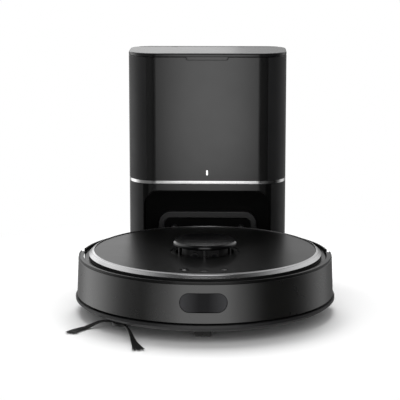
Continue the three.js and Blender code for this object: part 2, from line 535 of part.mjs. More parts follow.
for (const [side, s] of sides) add(`dock_foot_${side}`, extrudeZ(roundRect(s * 82 - 8, s * 82 + 8, 158, 234, 6), 0, 3.7), 'rubber');
{
  let duct = box(-20, 20, 93, 232, 2, BASE_TOP).add(box(-20, 20, 196, 232, 2, 162.4));
  duct = cut(duct, box(-18.6, 18.6, 95, 230.6, 3.2, 7.3), box(-18.6, 18.6, 197.4, 230.6, 3.2, 170), box(-17, 17, 100, 118, 5, 12));
  add('dock_duct', duct, 'dark');
  add('dock_port_seal', extrudeZ(roundRect(-21, 21, 96, 122, 3), 8.8, 11.4).subtract(box(-17, 17, 100, 118, 5, 15)), 'rubber');
  add('bag_collar', box(-38, 38, 178, 250 - 18, 162.8, 166).add(box(-24, 24, 193, 232, 165, 171.6)).subtract(cyl(15, 150, 180, 0, 212, 16)), 'white');
  const bag = new THREE.ExtrudeGeometry(roundRect(-72, 72, 168, 224, 16), { depth: 112, bevelEnabled: true, bevelThickness: 12, bevelSize: 8, bevelSegments: 2, curveSegments: 3 });
  bag.translate(0, 0, 184);
  add('dust_bag', solid(bag), 'felt');
  let motor = cyl(25, 18, 96, 58, 220, 20).add(cyl(18, 95, 112, 58, 220, 20)).subtract(cyl(9, 100, 120, 58, 220, 12));
  add('dock_motor', motor, 'dark');
  add('dock_board', join(box(-96, -34, 236, 237.6, 44, 118), box(-90, -70, 228, 236.4, 60, 84), box(-60, -44, 230, 236.4, 92, 110)), 'green');
  let panel = box(-95.6, 95.6, 246.6, 249.6, 14.4, 127.6).subtract(box(-93.4, -66.6, 240, 260, 15.6, 36.4));
  for (let i = 0; i < 9; i++) panel = panel.subtract(box(34, 84, 240, 260, 40 + 8 * i, 43.5 + 8 * i));
  add('dock_rear_panel', panel, 'satin_black');
  let inlet = box(-93, -67, 230, 249.6, 16, 36).subtract(extrudeY(roundRect(-89, -71, 21, 31, 4.9), 236, 260));
  for (const x of [-84, -76]) inlet = inlet.add(cylY(1.2, 234, 246, x, 26, 10));
  add('power_inlet', inlet, 'dark');
}
{
  let block = extrudeY(roundRect(-70.5, 70.5, 34, 96, 4, 18), 182, BAY_Y1 - GAP);
  block = block.subtract(extrudeY(roundRect(-60.5, 60.5, 44, 85, 4, 8), 175, 187));
  for (const [, s] of sides) block = block.add(latheY([[0, 176], [3.8, 176], [4.6, 188], [0, 188]], 12, s * PIN_X, PIN_Z));
  for (const [, s] of sides) block = block.subtract(cylY(2.7, 170, 195, s * PIN_X, PIN_Z, 12));
  add('contact_block', block, 'satin_black');
  for (const [side, s] of sides) {
    add(`charge_pin_${side}`, latheY([[0, 159.2], [1.2, 159.3], [2.1, 160.2], [2.4, 161.6], [2.4, 186], [0, 186]], 12, s * PIN_X, PIN_Z), 'brass');
  }
}

export default group;
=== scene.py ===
"""Robot vacuum standing in its self-emptying dock.

Shapes are laid out in millimetres about the robot's vertical axis, with the front at -Y and the dock behind it at +Y.
P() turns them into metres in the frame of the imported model, whose origin is the middle of the footprint.
"""

import math
import random

import bmesh
import bpy
from mathutils import Matrix, Vector, noise


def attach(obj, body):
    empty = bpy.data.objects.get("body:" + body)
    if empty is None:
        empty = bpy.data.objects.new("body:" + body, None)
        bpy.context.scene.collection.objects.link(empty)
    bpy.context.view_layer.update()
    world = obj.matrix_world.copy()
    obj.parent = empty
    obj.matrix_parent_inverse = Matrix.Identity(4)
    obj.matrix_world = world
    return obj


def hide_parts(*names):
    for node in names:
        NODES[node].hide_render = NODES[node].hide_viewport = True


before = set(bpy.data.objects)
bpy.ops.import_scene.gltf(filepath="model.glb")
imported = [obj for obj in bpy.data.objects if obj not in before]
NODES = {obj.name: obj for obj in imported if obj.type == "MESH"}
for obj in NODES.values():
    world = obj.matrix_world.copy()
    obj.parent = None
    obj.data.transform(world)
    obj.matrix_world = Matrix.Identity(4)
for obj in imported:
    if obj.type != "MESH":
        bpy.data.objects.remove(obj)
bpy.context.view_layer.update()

MM = 0.001
FRAME_Y = -18.0
scene = bpy.context.scene


def P(v):
    return (v[0] * MM, (v[1] + FRAME_Y) * MM, v[2] * MM)


# ---------------------------------------------------------------- mesh helpers
def mesh(name, verts, faces, fix=True):
    me = bpy.data.meshes.new(name)
    me.from_pydata([P(v) for v in verts], [], faces)
    if fix:
        bm = bmesh.new()
        bm.from_mesh(me)
        bmesh.ops.remove_doubles(bm, verts=bm.verts, dist=1e-7)
        bmesh.ops.recalc_face_normals(bm, faces=bm.faces)
        bm.to_mesh(me)
        bm.free()
    ob = bpy.data.objects.new(name, me)
    scene.collection.objects.link(ob)
    return ob


def loft(name, loops, closed=False):
    """Loops of the same number of points, joined one to the next. Open ends are capped."""
    n = len(loops[0])
    verts = [p for loop in loops for p in loop]
    faces = []
    m = len(loops)
    for i in range(m if closed else m - 1):
        a, b = i * n, ((i + 1) % m) * n
        for k in range(n):
            l = (k + 1) % n
            faces.append((a + k, a + l, b + l, b + k))
    if not closed:
        faces.append(tuple(range(n)))
        faces.append(tuple(range((m - 1) * n, m * n)))
    return mesh(name, verts, faces)


def lathe(name, profile, n=192, at=(0.0, 0.0), axis="z"):
    """A turned piece. profile: (radius, height), on the axis at both ends or closed on itself."""
    verts, faces, rings = [], [], []

    def place(r, h, a):
        c, s = r * math.cos(a), r * math.sin(a)
        if axis == "z":
            return (at[0] + c, at[1] + s, h)
        if axis == "x":
            return (h, at[0] + c, at[1] + s)
        return (at[0] + c, h, at[1] + s)

    for r, h in profile:
        if r < 1e-6:
            rings.append([len(verts)])
            verts.append(place(0, h, 0))
        else:
            rings.append(list(range(len(verts), len(verts) + n)))
            verts += [place(r, h, 2 * math.pi * k / n) for k in range(n)]
    pairs = list(zip(rings, rings[1:]))
    if len(rings[0]) > 1 or len(rings[-1]) > 1:
        pairs.append((rings[-1], rings[0]))
    for a, b in pairs:
        for k in range(n):
            l = (k + 1) % n
            if len(a) == 1 and len(b) == 1:
                continue
            if len(a) == 1:
                faces.append((a[0], b[l], b[k]))
            elif len(b) == 1:
                faces.append((a[k], a[l], b[0]))
            else:
                faces.append((a[k], a[l], b[l], b[k]))
    return mesh(name, verts, faces)


def rounded(points, radii, seg=5, closed=True):
    """A polygon with its corners rounded."""
    out = []
    n = len(points)
    if not hasattr(radii, "__len__"):
        radii = [radii] * n
    for i in range(n):
        p, r = Vector(points[i]), radii[i]
        if r <= 0 or (not closed and i in (0, n - 1)):
            out.append(tuple(p))
            continue
        a, b = Vector(points[i - 1]) - p, Vector(points[(i + 1) % n]) - p
        la, lb = a.length, b.length
        a, b = a / la, b / lb
        ang = math.acos(max(-1, min(1, a.dot(b))))
        if ang > math.pi - 0.02:
            out.append(tuple(p))
            continue
        t = min(r / math.tan(ang / 2), 0.48 * la, 0.48 * lb)
        r = t * math.tan(ang / 2)
        c = p + (a + b).normalized() * (r / math.sin(ang / 2))
        s, e = p + a * t - c, p + b * t - c
        a0 = math.atan2(s.y, s.x)
        d = (math.atan2(e.y, e.x) - a0 + math.pi) % (2 * math.pi) - math.pi
        for k in range(seg + 1):
            q = a0 + d * k / seg
            out.append((c.x + r * math.cos(q), c.y + r * math.sin(q)))
    return out


def rrect(x0, x1, y0, y1, low, high=None, n=10):
    """A rectangle with rounded corners, always 4 * (n + 1) points."""
    high = low if high is None else high
    low, high = max(low, 0.02), max(high, 0.02)
    pts = []
    for cx, cy, r, a0 in ((x1 - low, y0 + low, low, -90), (x1 - high, y1 - high, high, 0), (x0 + high, y1 - high, high, 90), (x0 + low, y0 + low, low, 180)):
        for i in range(n + 1):
            a = math.radians(a0 + 90 * i / n)
            pts.append((cx + r * math.cos(a), cy + r * math.sin(a)))
    return pts


def put(points, h, axis):
    if axis == "z":
        return [(a, b, h) for a, b in points]
    if axis == "y":
        return [(a, h, b) for a, b in points]
    return [(h, a, b) for a, b in points]


def prism(name, points, lo, hi, axis="z"):
    return loft(name, [put(points, lo, axis), put(points, hi, axis)])


def soft_prism(name, outline, lo, hi, r, axis="z", r_lo=None, seg=4):
    """outline(inset) pushed from lo to hi, with both rims rounded."""
    r_lo = r if r_lo is None else r_lo
    layers = []
    if r_lo > 0:
        layers += [(lo + r_lo * (1 - math.cos(math.pi / 2 * k / seg)), r_lo * (1 - math.sin(math.pi / 2 * k / seg))) for k in range(seg + 1)]
    else:
        layers.append((lo, 0))
    if r > 0:
        layers += [(hi - r * (1 - math.sin(math.pi / 2 * k / seg)), r * (1 - math.cos(math.pi / 2 * k / seg))) for k in range(seg + 1)]
    else:
        layers.append((hi, 0))
    return loft(name, [put(outline(i), h, axis) for h, i in layers])


def box(x0, x1, y0, y1, z0, z1, name="cutter"):
    return prism(name, [(x0, y0), (x1, y0), (x1, y1), (x0, y1)], z0, z1)


def boxes(*spans):
    """Several boxes that don't touch, as one mesh."""
    verts, faces = [], []
    for x0, x1, y0, y1, z0, z1 in spans:
        o = len(verts)
        verts += [(x, y, z) for z in (z0, z1) for y in (y0, y1) for x in (x0, x1)]
        faces += [tuple(o + i for i in f) for f in ((0, 2, 3, 1), (4, 5, 7, 6), (0, 1, 5, 4), (2, 6, 7, 3), (0, 4, 6, 2), (1, 3, 7, 5))]
    return mesh("cutter", verts, faces)


def cyl(r, z0, z1, x=0.0, y=0.0, n=48, axis="z"):
    return lathe("cutter", [(0, z0), (r, z0), (r, z1), (0, z1)], n, (x, y), axis)


def bake(ob):
    dg = bpy.context.evaluated_depsgraph_get()
    me = bpy.data.meshes.new_from_object(ob.evaluated_get(dg), preserve_all_data_layers=True, depsgraph=dg)
    old = ob.data
    ob.modifiers.clear()
    ob.data = me
    bpy.data.meshes.remove(old)
    if not len(me.polygons):
        raise RuntimeError(f"{ob.name} came out empty")
    return ob


def combine(ob, others, operation):
    for o in others:
        m = ob.modifiers.new("b", "BOOLEAN")
        m.operation, m.solver, m.object = operation, "MANIFOLD", o
    bake(ob)
    for o in others:
        me = o.data
        bpy.data.objects.remove(o)
        bpy.data.meshes.remove(me)
    return ob


def join(ob, *others):
    return combine(ob, others, "UNION")


def cut(ob, *others):
    return combine(ob, others, "DIFFERENCE")


def keep(ob, *others):
    return combine(ob, others, "INTERSECT")


def bevel(ob, width, angle=40, seg=2):
    m = ob.modifiers.new("bevel", "BEVEL")
    m.width, m.segments, m.limit_method, m.angle_limit = width * MM, seg, "ANGLE", math.radians(angle)
    m.use_clamp_overlap = True
    return ob


def smooth(ob, deg=34):
    ob.data.shade_smooth()
    ob.data.set_sharp_from_angle(angle=math.radians(deg))
    m = ob.modifiers.new("normals", "WEIGHTED_NORMAL")
    m.keep_sharp, m.weight = True, 60
    return ob


def paint(ob, *materials):
    ob.data.materials.clear()
    for m in materials:
        ob.data.materials.append(m)


def zones(ob, rules):
    """rules: (material index, test of a face's middle and normal in mm)"""
    for f in ob.data.polygons:
        c = f.center
        p = (c.x / MM, c.y / MM - FRAME_Y, c.z / MM)
        for index, test in rules:
            if test(p, f.normal):
                f.material_index = index
                break


def piece(ob, body, material, slot, *replaced, deg=34, shade=True, extra=()):
    if not any(ob.data.materials):
        ob.data.materials.clear()
        ob.data.materials.append(material)
        for m in extra:
            ob.data.materials.append(m)
    if shade:
        smooth(ob, deg)
    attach(ob, body)
    if replaced:
        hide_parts(*replaced)
    return ob


# ---------------------------------------------------------------- materials
class Graph:
    """Short hand for a node tree of one material."""

    def __init__(self, name):
        self.m = bpy.data.materials.new(name)
        self.m.use_nodes = True
        self.t = self.m.node_tree
        self.t.nodes.clear()
        self.out = self.node("ShaderNodeOutputMaterial")
        self.b = self.node("ShaderNodeBsdfPrincipled")
        self.link(self.b.outputs[0], self.out.inputs[0])
        self.co = self.node("ShaderNodeTexCoord").outputs["Object"]

    def node(self, kind, **values):
        n = self.t.nodes.new(kind)
        for k, v in values.items():
            setattr(n, k, v)
        return n

    def link(self, a, b):
        self.t.links.new(a, b)

    def noise(self, scale, detail=3.0, rough=0.55, vector=None, distortion=0.0):
        n = self.node("ShaderNodeTexNoise")
        n.inputs["Scale"].default_value = scale
        n.inputs["Detail"].default_value = detail
        n.inputs["Roughness"].default_value = rough
        n.inputs["Distortion"].default_value = distortion
        self.link(vector or self.co, n.inputs["Vector"])
        return n.outputs["Fac"]

    def stretch(self, x, y, z):
        n = self.node("ShaderNodeMapping")
        n.inputs["Scale"].default_value = (x, y, z)
        self.link(self.co, n.inputs["Vector"])
        return n.outputs[0]

    def remap(self, value, a, b, lo=0.3, hi=0.7):
        n = self.node("ShaderNodeMapRange")
        n.inputs["From Min"].default_value, n.inputs["From Max"].default_value = lo, hi
        n.inputs["To Min"].default_value, n.inputs["To Max"].default_value = a, b
        self.link(value, n.inputs["Value"])
        return n.outputs[0]

    def math(self, op, a, b=None):
        n = self.node("ShaderNodeMath", operation=op)
        for i, v in enumerate((a, b)):
            if v is None:
                continue
            if isinstance(v, (int, float)):
                n.inputs[i].default_value = v
            else:
                self.link(v, n.inputs[i])
        return n.outputs[0]

    def mix(self, fac, a, b):
        n = self.node("ShaderNodeMix", data_type="RGBA")
        if isinstance(fac, (int, float)):
            n.inputs[0].default_value = fac
        else:
            self.link(fac, n.inputs[0])
        for i, v in ((6, a), (7, b)):
            if isinstance(v, tuple):
                n.inputs[i].default_value = (*v[:3], 1)
            else:
                self.link(v, n.inputs[i])
        return n.outputs[2]

    def bump(self, height, strength, distance, normal=None):
        n = self.node("ShaderNodeBump")
        n.inputs["Strength"].default_value = strength
        n.inputs["Distance"].default_value = distance
        self.link(height, n.inputs["Height"])
        if normal is not None:
            self.link(normal, n.inputs["Normal"])
        return n.outputs[0]

    def set(self, **values):
        for k, v in values.items():
            s = self.b.inputs[k.replace("_", " ")]
            if hasattr(v, "links"):
                self.link(v, s)
            elif isinstance(v, tuple):
                s.default_value = (*v[:3], 1)
            else:
                s.default_value = v


def lin(h):
    """sRGB hex to linear"""
    c = [int(h[i : i + 2], 16) / 255 for i in (1, 3, 5)]
    return tuple(x / 12.92 if x <= 0.04045 else ((x + 0.055) / 1.055) ** 2.4 for x in c)


def times(c, k):
    return tuple(x * k for x in c)


def plastic(name, colour, rough, ior=1.5, metal=0.0, grain=900.0, depth=0.35, vary=0.12, spread=0.05, coat=0.0):
    """Moulded plastic: a fine spark-eroded grain, slow drift of colour and polish, and faint handling marks."""
    g = Graph(name)
    slow = g.noise(14, 4)
    marks = g.noise(55, 6, 0.7, distortion=0.6)
    g.set(Base_Color=g.mix(g.remap(slow, 0, 1), times(colour, 1 - vary), times(colour, 1 + vary)))
    r = g.remap(g.math("ADD", g.math("MULTIPLY", slow, 0.6), g.math("MULTIPLY", marks, 0.4)), rough - spread, rough + spread, 0.35, 0.65)
    g.set(Roughness=r, Metallic=metal, IOR=ior)
    if coat:
        g.set(Coat_Weight=coat, Coat_Roughness=0.12)
    fine = g.noise(grain, 2, 0.6)
    g.set(Normal=g.bump(fine, depth, 0.00006))
    return g.m


def metal(name, colour, rough, stretch=(1, 1, 1), scale=260.0, depth=0.25, spread=0.07):
    """Metal or metal-effect finish with a fine drawn grain."""
    g = Graph(name)
    grain = g.noise(scale, 4, 0.7, g.stretch(*stretch))
    slow = g.noise(18, 3)
    g.set(Base_Color=g.mix(g.remap(slow, 0, 1), times(colour, 0.9), times(colour, 1.06)))
    g.set(Roughness=g.remap(grain, rough - spread, rough + spread), Metallic=1.0)
    g.set(Normal=g.bump(grain, depth, 0.00003))
    return g.m


M = {}
M["satin"] = plastic("satin_black_plastic", lin("#1b1b1b"), 0.34, ior=1.5, grain=1300, depth=0.22)
M["dock"] = plastic("satin_graphite_plastic", lin("#0b0b0b"), 0.25, ior=1.72, grain=1300, depth=0.1, vary=0.05, spread=0.015)
M["bumper"] = plastic("satin_graphite_paint", lin("#131312"), 0.28, ior=1.8, grain=1500, depth=0.1, vary=0.06, spread=0.015)
M["cover"] = plastic("satin_black_cover", lin("#0b0b0b"), 0.33, ior=1.38, grain=1500, depth=0.05, vary=0.05, spread=0.012)
M["gloss"] = plastic("gloss_black_plastic", lin("#0b0b0c"), 0.12, ior=1.52, grain=500, depth=0.03, spread=0.03, coat=0.4)
M["lid"] = plastic("dock_lid_gloss", lin("#161617"), 0.2, ior=1.5, grain=700, depth=0.03, vary=0.05, spread=0.015, coat=0.2)
M["dark"] = plastic("moulded_black_plastic", lin("#1a1a1b"), 0.55, grain=700, depth=0.5)
# painted shade: near-black, dull, weakly reflecting plastic laid inside the dock's bay, the contact frame's recess and
# the bumper's inner wall to darken them
M["alcove"] = plastic("recess_painted_shade", lin("#070707"), 0.6, ior=1.25, grain=700, depth=0.5)
M["frame"] = plastic("contact_frame_plastic", lin("#2e2e2f"), 0.42, ior=1.8, grain=1200, depth=0.2)
M["clear"] = plastic("smoked_polycarbonate", lin("#3a4046"), 0.14, ior=1.58, grain=400, depth=0.03, vary=0.05, coat=0.3)
M["white"] = plastic("white_print", lin("#707070"), 0.5, grain=900, depth=0.1, vary=0.03)
M["card"] = plastic("pressed_card", lin("#d9cfbb"), 0.85, grain=350, depth=0.9, vary=0.08)
M["silver"] = metal("satin_silver", lin("#dededf"), 0.24, (1, 1, 9), 300, 0.015, 0.02)
M["band"] = metal("bright_trim", lin("#f4f4f4"), 0.2, (1, 1, 9), 300, 0.01, 0.02)
M["steel"] = metal("zinc_plated_steel", lin("#a9aaad"), 0.3)
M["contact"] = metal("nickel_contact", lin("#dedcd6"), 0.5, (1, 8, 1), 300, 0.1)
M["brass"] = metal("brass", lin("#b9964a"), 0.3)


def lens_material():
    """Smoked infrared window: near black over the sensor in the middle and paler towards its ends, where the paler tone
    is a painted reflection of the window's curved sides.
    """
    g = Graph("infrared_window")
    sep = g.node("ShaderNodeSeparateXYZ")
    g.link(g.co, sep.inputs[0])
    off = g.math("ABSOLUTE", g.math("SUBTRACT", sep.outputs["X"], 0.001))
    # painted reflection: the base colour grows paler with distance from the middle along X
    ends = g.remap(off, 0, 1, 0.006, 0.027)
    slow = g.noise(9, 2)
    tint = g.mix(g.remap(slow, 0, 1), lin("#0a0a0c"), lin("#101013"))
    g.set(Base_Color=g.mix(ends, tint, lin("#3c3c3e")), Roughness=g.remap(g.noise(40, 5), 0.1, 0.2), IOR=1.22)
    g.set(Normal=g.bump(g.noise(60, 2), 0.04, 0.0002))
    return g.m


def rubber_material():
    g = Graph("moulded_rubber")
    fine, slow = g.noise(1600, 3, 0.7), g.noise(30, 5, 0.7)
    g.set(Base_Color=g.mix(g.remap(slow, 0, 1), lin("#121212"), lin("#232322")), Roughness=g.remap(slow, 0.72, 0.92), IOR=1.45)
    g.set(Normal=g.bump(fine, 0.5, 0.00008))
    return g.m


def bristle_material():
    g = Graph("nylon_bristle")
    streak = g.noise(900, 2, 0.6)
    g.set(Base_Color=g.mix(g.remap(streak, 0, 1), lin("#0b0b0b"), lin("#242424")), Roughness=0.42, IOR=1.53)
    g.set(Normal=g.bump(streak, 0.2, 0.00003))
    return g.m


def board_material():
    """Printed board: green mask with fine tracks and black chips above it."""
    g = Graph("printed_board")
    sep = g.node("ShaderNodeSeparateXYZ")
    g.link(g.co, sep.inputs[0])
    brick = g.node("ShaderNodeTexBrick")
    brick.inputs["Scale"].default_value = 160
    brick.inputs["Mortar Size"].default_value = 0.03
    brick.inputs["Color1"].default_value = (0.012, 0.075, 0.03, 1)
    brick.inputs["Color2"].default_value = (0.016, 0.1, 0.042, 1)
    brick.inputs["Mortar"].default_value = (0.05, 0.17, 0.08, 1)
    g.link(g.co, brick.inputs["Vector"])
    up = g.math("GREATER_THAN", sep.outputs["Z"], 0.04502)
    vertical = g.math("LESS_THAN", sep.outputs["Y"], 0.2179)
    dock_side = g.math("GREATER_THAN", sep.outputs["Y"], 0.15)
    robot_chip = g.math("MULTIPLY", up, g.math("LESS_THAN", sep.outputs["Y"], 0.15))
    chip = g.math("MAXIMUM", robot_chip, g.math("MULTIPLY", vertical, dock_side))
    g.set(Base_Color=g.mix(chip, brick.outputs["Color"], lin("#1d1d1f")), Roughness=g.remap(g.noise(200, 3), 0.3, 0.5))
    g.set(Normal=g.bump(brick.outputs["Fac"], 0.3, 0.0001))
    return g.m


def battery_material():
    g = Graph("shrink_wrapped_cells")
    sep = g.node("ShaderNodeSeparateXYZ")
    g.link(g.co, sep.inputs[0])
    wave = g.math("SINE", g.math("MULTIPLY", sep.outputs["X"], 330))
    wrinkle = g.noise(120, 5, 0.7, distortion=1.5)
    g.set(Base_Color=g.mix(g.remap(wrinkle, 0, 1), lin("#2f4d74"), lin("#47699a")), Roughness=g.remap(wrinkle, 0.25, 0.45), IOR=1.5)
    g.set(Normal=g.bump(wrinkle, 0.5, 0.0005, g.bump(g.remap(wave, 0, 1, -1, 1), 0.6, 0.0012)))
    return g.m


def fleece_material():
    """Non-woven filter fleece, bonded in small points."""
    g = Graph("filter_fleece")
    fibres = g.noise(700, 6, 0.8, distortion=2.0)
    v = g.node("ShaderNodeTexVoronoi", distance="EUCLIDEAN")
    v.inputs["Scale"].default_value = 330
    g.link(g.co, v.inputs["Vector"])
    dots = g.remap(v.outputs["Distance"], 0, 1, 0.1, 0.45)
    g.set(Base_Color=g.mix(g.remap(fibres, 0, 1), lin("#cfc9bd"), lin("#ece7dd")), Roughness=g.remap(fibres, 0.85, 0.98))
    g.set(Normal=g.bump(dots, 0.4, 0.0002, g.bump(fibres, 0.5, 0.0002)))
    g.set(Sheen_Weight=0.25)
    return g.m


def lamp_material():
    g = Graph("status_lamp")
    g.set(Base_Color=lin("#f4f6f8"), Roughness=0.35)
    g.set(Emission_Color=(1.0, 1.0, 1.0), Emission_Strength=1.1)
    g.set(Normal=g.bump(g.noise(700, 2), 0.05, 0.00005))
    return g.m


M["lens"] = lens_material()
M["rubber"] = rubber_material()
M["bristle"] = bristle_material()
M["board"] = board_material()
M["battery"] = battery_material()
M["fleece"] = fleece_material()
M["lamp"] = lamp_material()


# ---------------------------------------------------------------- dock
def dock_line(o):
    return rrect(-111 + o, 111 - o, 140 + o, 250 - o, 40 - o, 30 - o, 22)


def dock_shell():
    body = soft_prism("dock_shell", dock_line, 8.8, 321.9, 0.5, r_lo=1.6)
    strip = keep(prism("cutter", dock_line(0), 319.9, 326.2), box(-200, 200, 242, 300, 300, 340))
    cap = keep(soft_prism("cutter", dock_line, 321.5, 327.2, 1.4, r_lo=0), box(-200, 200, 242, 300, 300, 340))
    body = join(body, strip, cap)
    chamber = cut(prism("cutter", dock_line(3), 138.4, 400), box(-200, 200, 242, 400, 319.5, 401))
    lower = cut(prism("cutter", dock_line(3), 11.8, 135.4), box(-92, 92, 100, 193, -10, 140), box(-200, 200, 99, 153, -11, 141))
    bay = prism("cutter", rrect(-89, 89, -30, 132.4, 10, 20, 16), 120, 190, "y")
    body = cut(body, chamber, lower, bay)
    # rounded lip round the mouth of the alcove
    lip = []
    for k in range(6):
        a = math.pi / 2 * k / 5
        lip.append((139.9 + 2.0 * math.sin(a), 2.0 * (1 - math.cos(a)) * -1 + 2.0))
    mouth = loft("cutter", [put(rrect(-89 - g, 89 + g, -30, 132.4 + g, 10, 20 + g, 16), y, "y") for y, g in [(138, 2.0)] + lip + [(150, 0.0)]])
    groove = keep(cut(prism("cutter", dock_line(-5), 143.3, 148.4), prism("cutter", dock_line(1.3), 130, 160)), box(-200, 200, 100, 205.3, 120, 170))
    notch = loft("cutter", [put(rounded([(-27.5 - g, 318.4 - g), (27.5 + g, 318.4 - g), (30 + g, 323.5), (-30 - g, 323.5)], [2, 2, 0, 0]), y, "y") for y, g in ((130, 0.9), (140.0, 0.9), (141.0, 0.2), (141.9, 0))])
    body = cut(
        body, mouth, groove, notch,
        prism("cutter", rrect(-1.15, 1.15, 155.85, 163.25, 1.1), 130, 160, "y"), box(-27.4, 27.4, 138, 142.3, 317.7, 318.9),
        prism("cutter", rrect(-96, 96, 14, 128, 5), 240, 260, "y"),
        box(-20.4, 20.4, 195.6, 232.4, 100, 145), box(-20.4, 20.4, 195.6, 232.4, 0, 20), box(30, 60, 200, 240, 130, 142),
    )
    for x in (-48, 48):
        body = join(body, cyl(2.9, x - 4, x + 4, 238.5, 324.2, 32, "x"), box(x - 4, x + 4, 238.5, 243, 321.4, 326.9))
    body = cut(body, cyl(1.6, -56, 56, 238.5, 324.2, 24, "x"))
    paint(body, M["dock"], M["alcove"], M["dark"])
    # index 1: the faces inside the bay take the alcove plastic, a painted shade in the recess
    zones(body, [
        (1, lambda p, n: abs(p[0]) < 89.3 and p[2] < 132.7 and 141.9 < p[1] < 190.4),
        (2, lambda p, n: p[1] < 246.5 and 138 < p[2] < 325 and abs(p[0]) < 108.2 and 143 < p[1] and not (p[2] > 321)),
        (2, lambda p, n: p[2] < 138.3 and 143 < p[1] < 247.1 and abs(p[0]) < 108.2),
    ])
    return body


dock = dock_shell()
piece(dock, "dock", M["dock"], "satin_black", "dock_housing")


def lid_piece():
    lid = soft_prism("dock_lid_shell", dock_line, 322.5, 327.2, 1.7, r_lo=0.6)
    lid = keep(lid, box(-200, 200, 100, 238.5, 300, 400))
    rim = keep(cut(prism("cutter", dock_line(3.6), 316.5, 324), prism("cutter", dock_line(5.8), 300, 330)), box(-200, 200, 100, 222, 300, 330))
    lid = join(lid, rim)
    for a, b in ((-64, -52.4), (-43.6, 43.6), (52.4, 64)):
        lid = join(lid, cyl(2.9, a, b, 238.5, 324.2, 32, "x"), box(a, b, 233, 238.5, 321.6, 326))
    lid = cut(lid, boxes((-52.4, -43.6, 234.9, 250, 310, 340), (43.6, 52.4, 234.9, 250, 310, 340)), cyl(1.6, -70, 70, 238.5, 324.2, 24, "x"))
    return lid


piece(lid_piece(), "dock_lid", M["lid"], "gloss_black", "dock_lid")

band = loft("dock_band_strip", [[(x, y, z) for x, y in dock_line(i)] for i, z in
            [(1.0, 143.6), (0.35, 143.6), (0.1, 143.75), (0, 144.0), (0, 147.7), (0.1, 147.95), (0.35, 148.1), (1.0, 148.1)]], closed=True)
band = keep(band, box(-200, 200, 100, 205, 100, 200))
piece(band, "dock", M["band"], "silver", "dock_trim_band")

lamp = join(soft_prism("dock_light_lens", lambda i: rrect(-0.9 + i, 0.9 - i, 156.1 + i, 163 - i, 0.85 - i), 140.05, 146, 0.2, "y", r_lo=0.25),
            prism("cutter", rrect(-3.5, 3.5, 152, 167, 1), 143.5, 146, "y"))
piece(lamp, "dock", M["lamp"], "white", "dock_light")


def contact_frame():
    block = soft_prism("contact_frame", lambda i: rrect(-70.5 + i, 70.5 - i, 34 + i, 96 - i, 4 - i, 18 - i, 12), 182, 189.7, 0, "y", r_lo=1.3)
    recess = loft("cutter", [put(rrect(-60.5 - g, 60.5 + g, 44 - g, 85 + g, 4 + g, 8 + g, 10), y, "y") for y, g in ((181, 2.4), (182, 2.4), (182.5, 2.0), (184.6, 0.5), (187, 0))])
    block = cut(block, recess)
    for x in (-48, 48):
        block = join(block, lathe("cutter", rounded([(0, 176), (3.8, 176), (4.6, 188), (0, 188)], [0, 0.7, 0, 0], closed=False), 40, (x, 72.5), "y"))
    for x in (-48, 48):
        block = cut(block, cyl(2.7, 170, 195, x, 72.5, 32, "y"))
    paint(block, M["frame"], M["alcove"])
    # the faces of the recess take the alcove plastic, a painted shade in the recess
    zones(block, [(1, lambda p, n: p[1] > 185.5 and abs(p[0]) < 61 and 43 < p[2] < 86)])
    return block


piece(contact_frame(), "dock", M["frame"], "satin_black", "contact_block")
for side, x in (("left", -48), ("right", 48)):
    pin = lathe(f"charge_pin_{side}_tip", rounded([(0, 159.2), (2.4, 159.2), (2.4, 186), (0, 186)], [0, 1.7, 0.3, 0], 6, closed=False), 40, (x, 72.5), "y")
    piece(pin, f"charge_pin_{side}", M["contact"], "contact", f"charge_pin_{side}")


def rear_panel():
    p = soft_prism("dock_service_panel", lambda i: rrect(-95.6 + i, 95.6 - i, 14.4 + i, 127.6 - i, 4.6 - i), 246.6, 249.6, 0.5, "y", r_lo=0)
    p = cut(p, box(-93.4, -66.6, 240, 260, 15.6, 36.4))
    for i in range(9):
        p = cut(p, prism("cutter", rrect(34, 84, 40 + 8 * i, 43.5 + 8 * i, 1.7, n=6), 240, 260, "y"))
    # four screw heads in their counterbores
    for x, z in ((-88, 120), (88, 120), (88, 22), (-58, 22)):
        p = cut(p, cyl(3.4, 248.6, 252, x, z, 32, "y"))
        p = join(p, lathe("cutter", rounded([(0, 247.5), (2.7, 247.5), (2.7, 249.4), (0, 249.4)], [0, 0, 0.5, 0], closed=False), 32, (x, z), "y"))
        p = cut(p, boxes((x - 1.8, x + 1.8, 248.7, 252, z - 0.35, z + 0.35)), boxes((x - 0.35, x + 0.35, 248.7, 252, z - 1.8, z + 1.8)))
    return p


piece(rear_panel(), "dock", M["dark"], "satin_black", "dock_rear_panel")


def base_plate():
    plate = soft_prism("dock_floor_plate", lambda i: rrect(-109 + i, 109 - i, 142 + i, 248 - i, 36 - i, 28 - i, 16), 1.2, 8.5, 0.5, r_lo=0.5)
    ramp = prism("cutter", rounded([(20, 0.8), (20, 1.8), (48, 8.5), (170, 8.5), (170, 0.8)], [0, 0.5, 4, 0, 0], 6), -75, 75, "x")
    plate = join(plate, ramp)
    # non-slip treads across the ramp
    plate = join(plate, boxes(*[(s * 51.5 - 15, s * 51.5 + 15, 50 + 7 * k, 52 + 7 * k, 8.2, 8.75) for s in (-1, 1) for k in range(5)]))
    plate = cut(plate, box(-20.3, 20.3, 92.7, 232.3, -1, 20))
    plate = join(plate, box(-20.5, 20.5, 90, 170, 0.5, 0.9), box(-20.5, 20.5, 169, 233, 1.2, 1.7))
    return cut(plate, box(73.6, 90.4, 157.6, 234.4, -2, 4), box(-90.4, -73.6, 157.6, 234.4, -2, 4))


piece(base_plate(), "dock", M["dark"], "dark", "dock_base_plate")


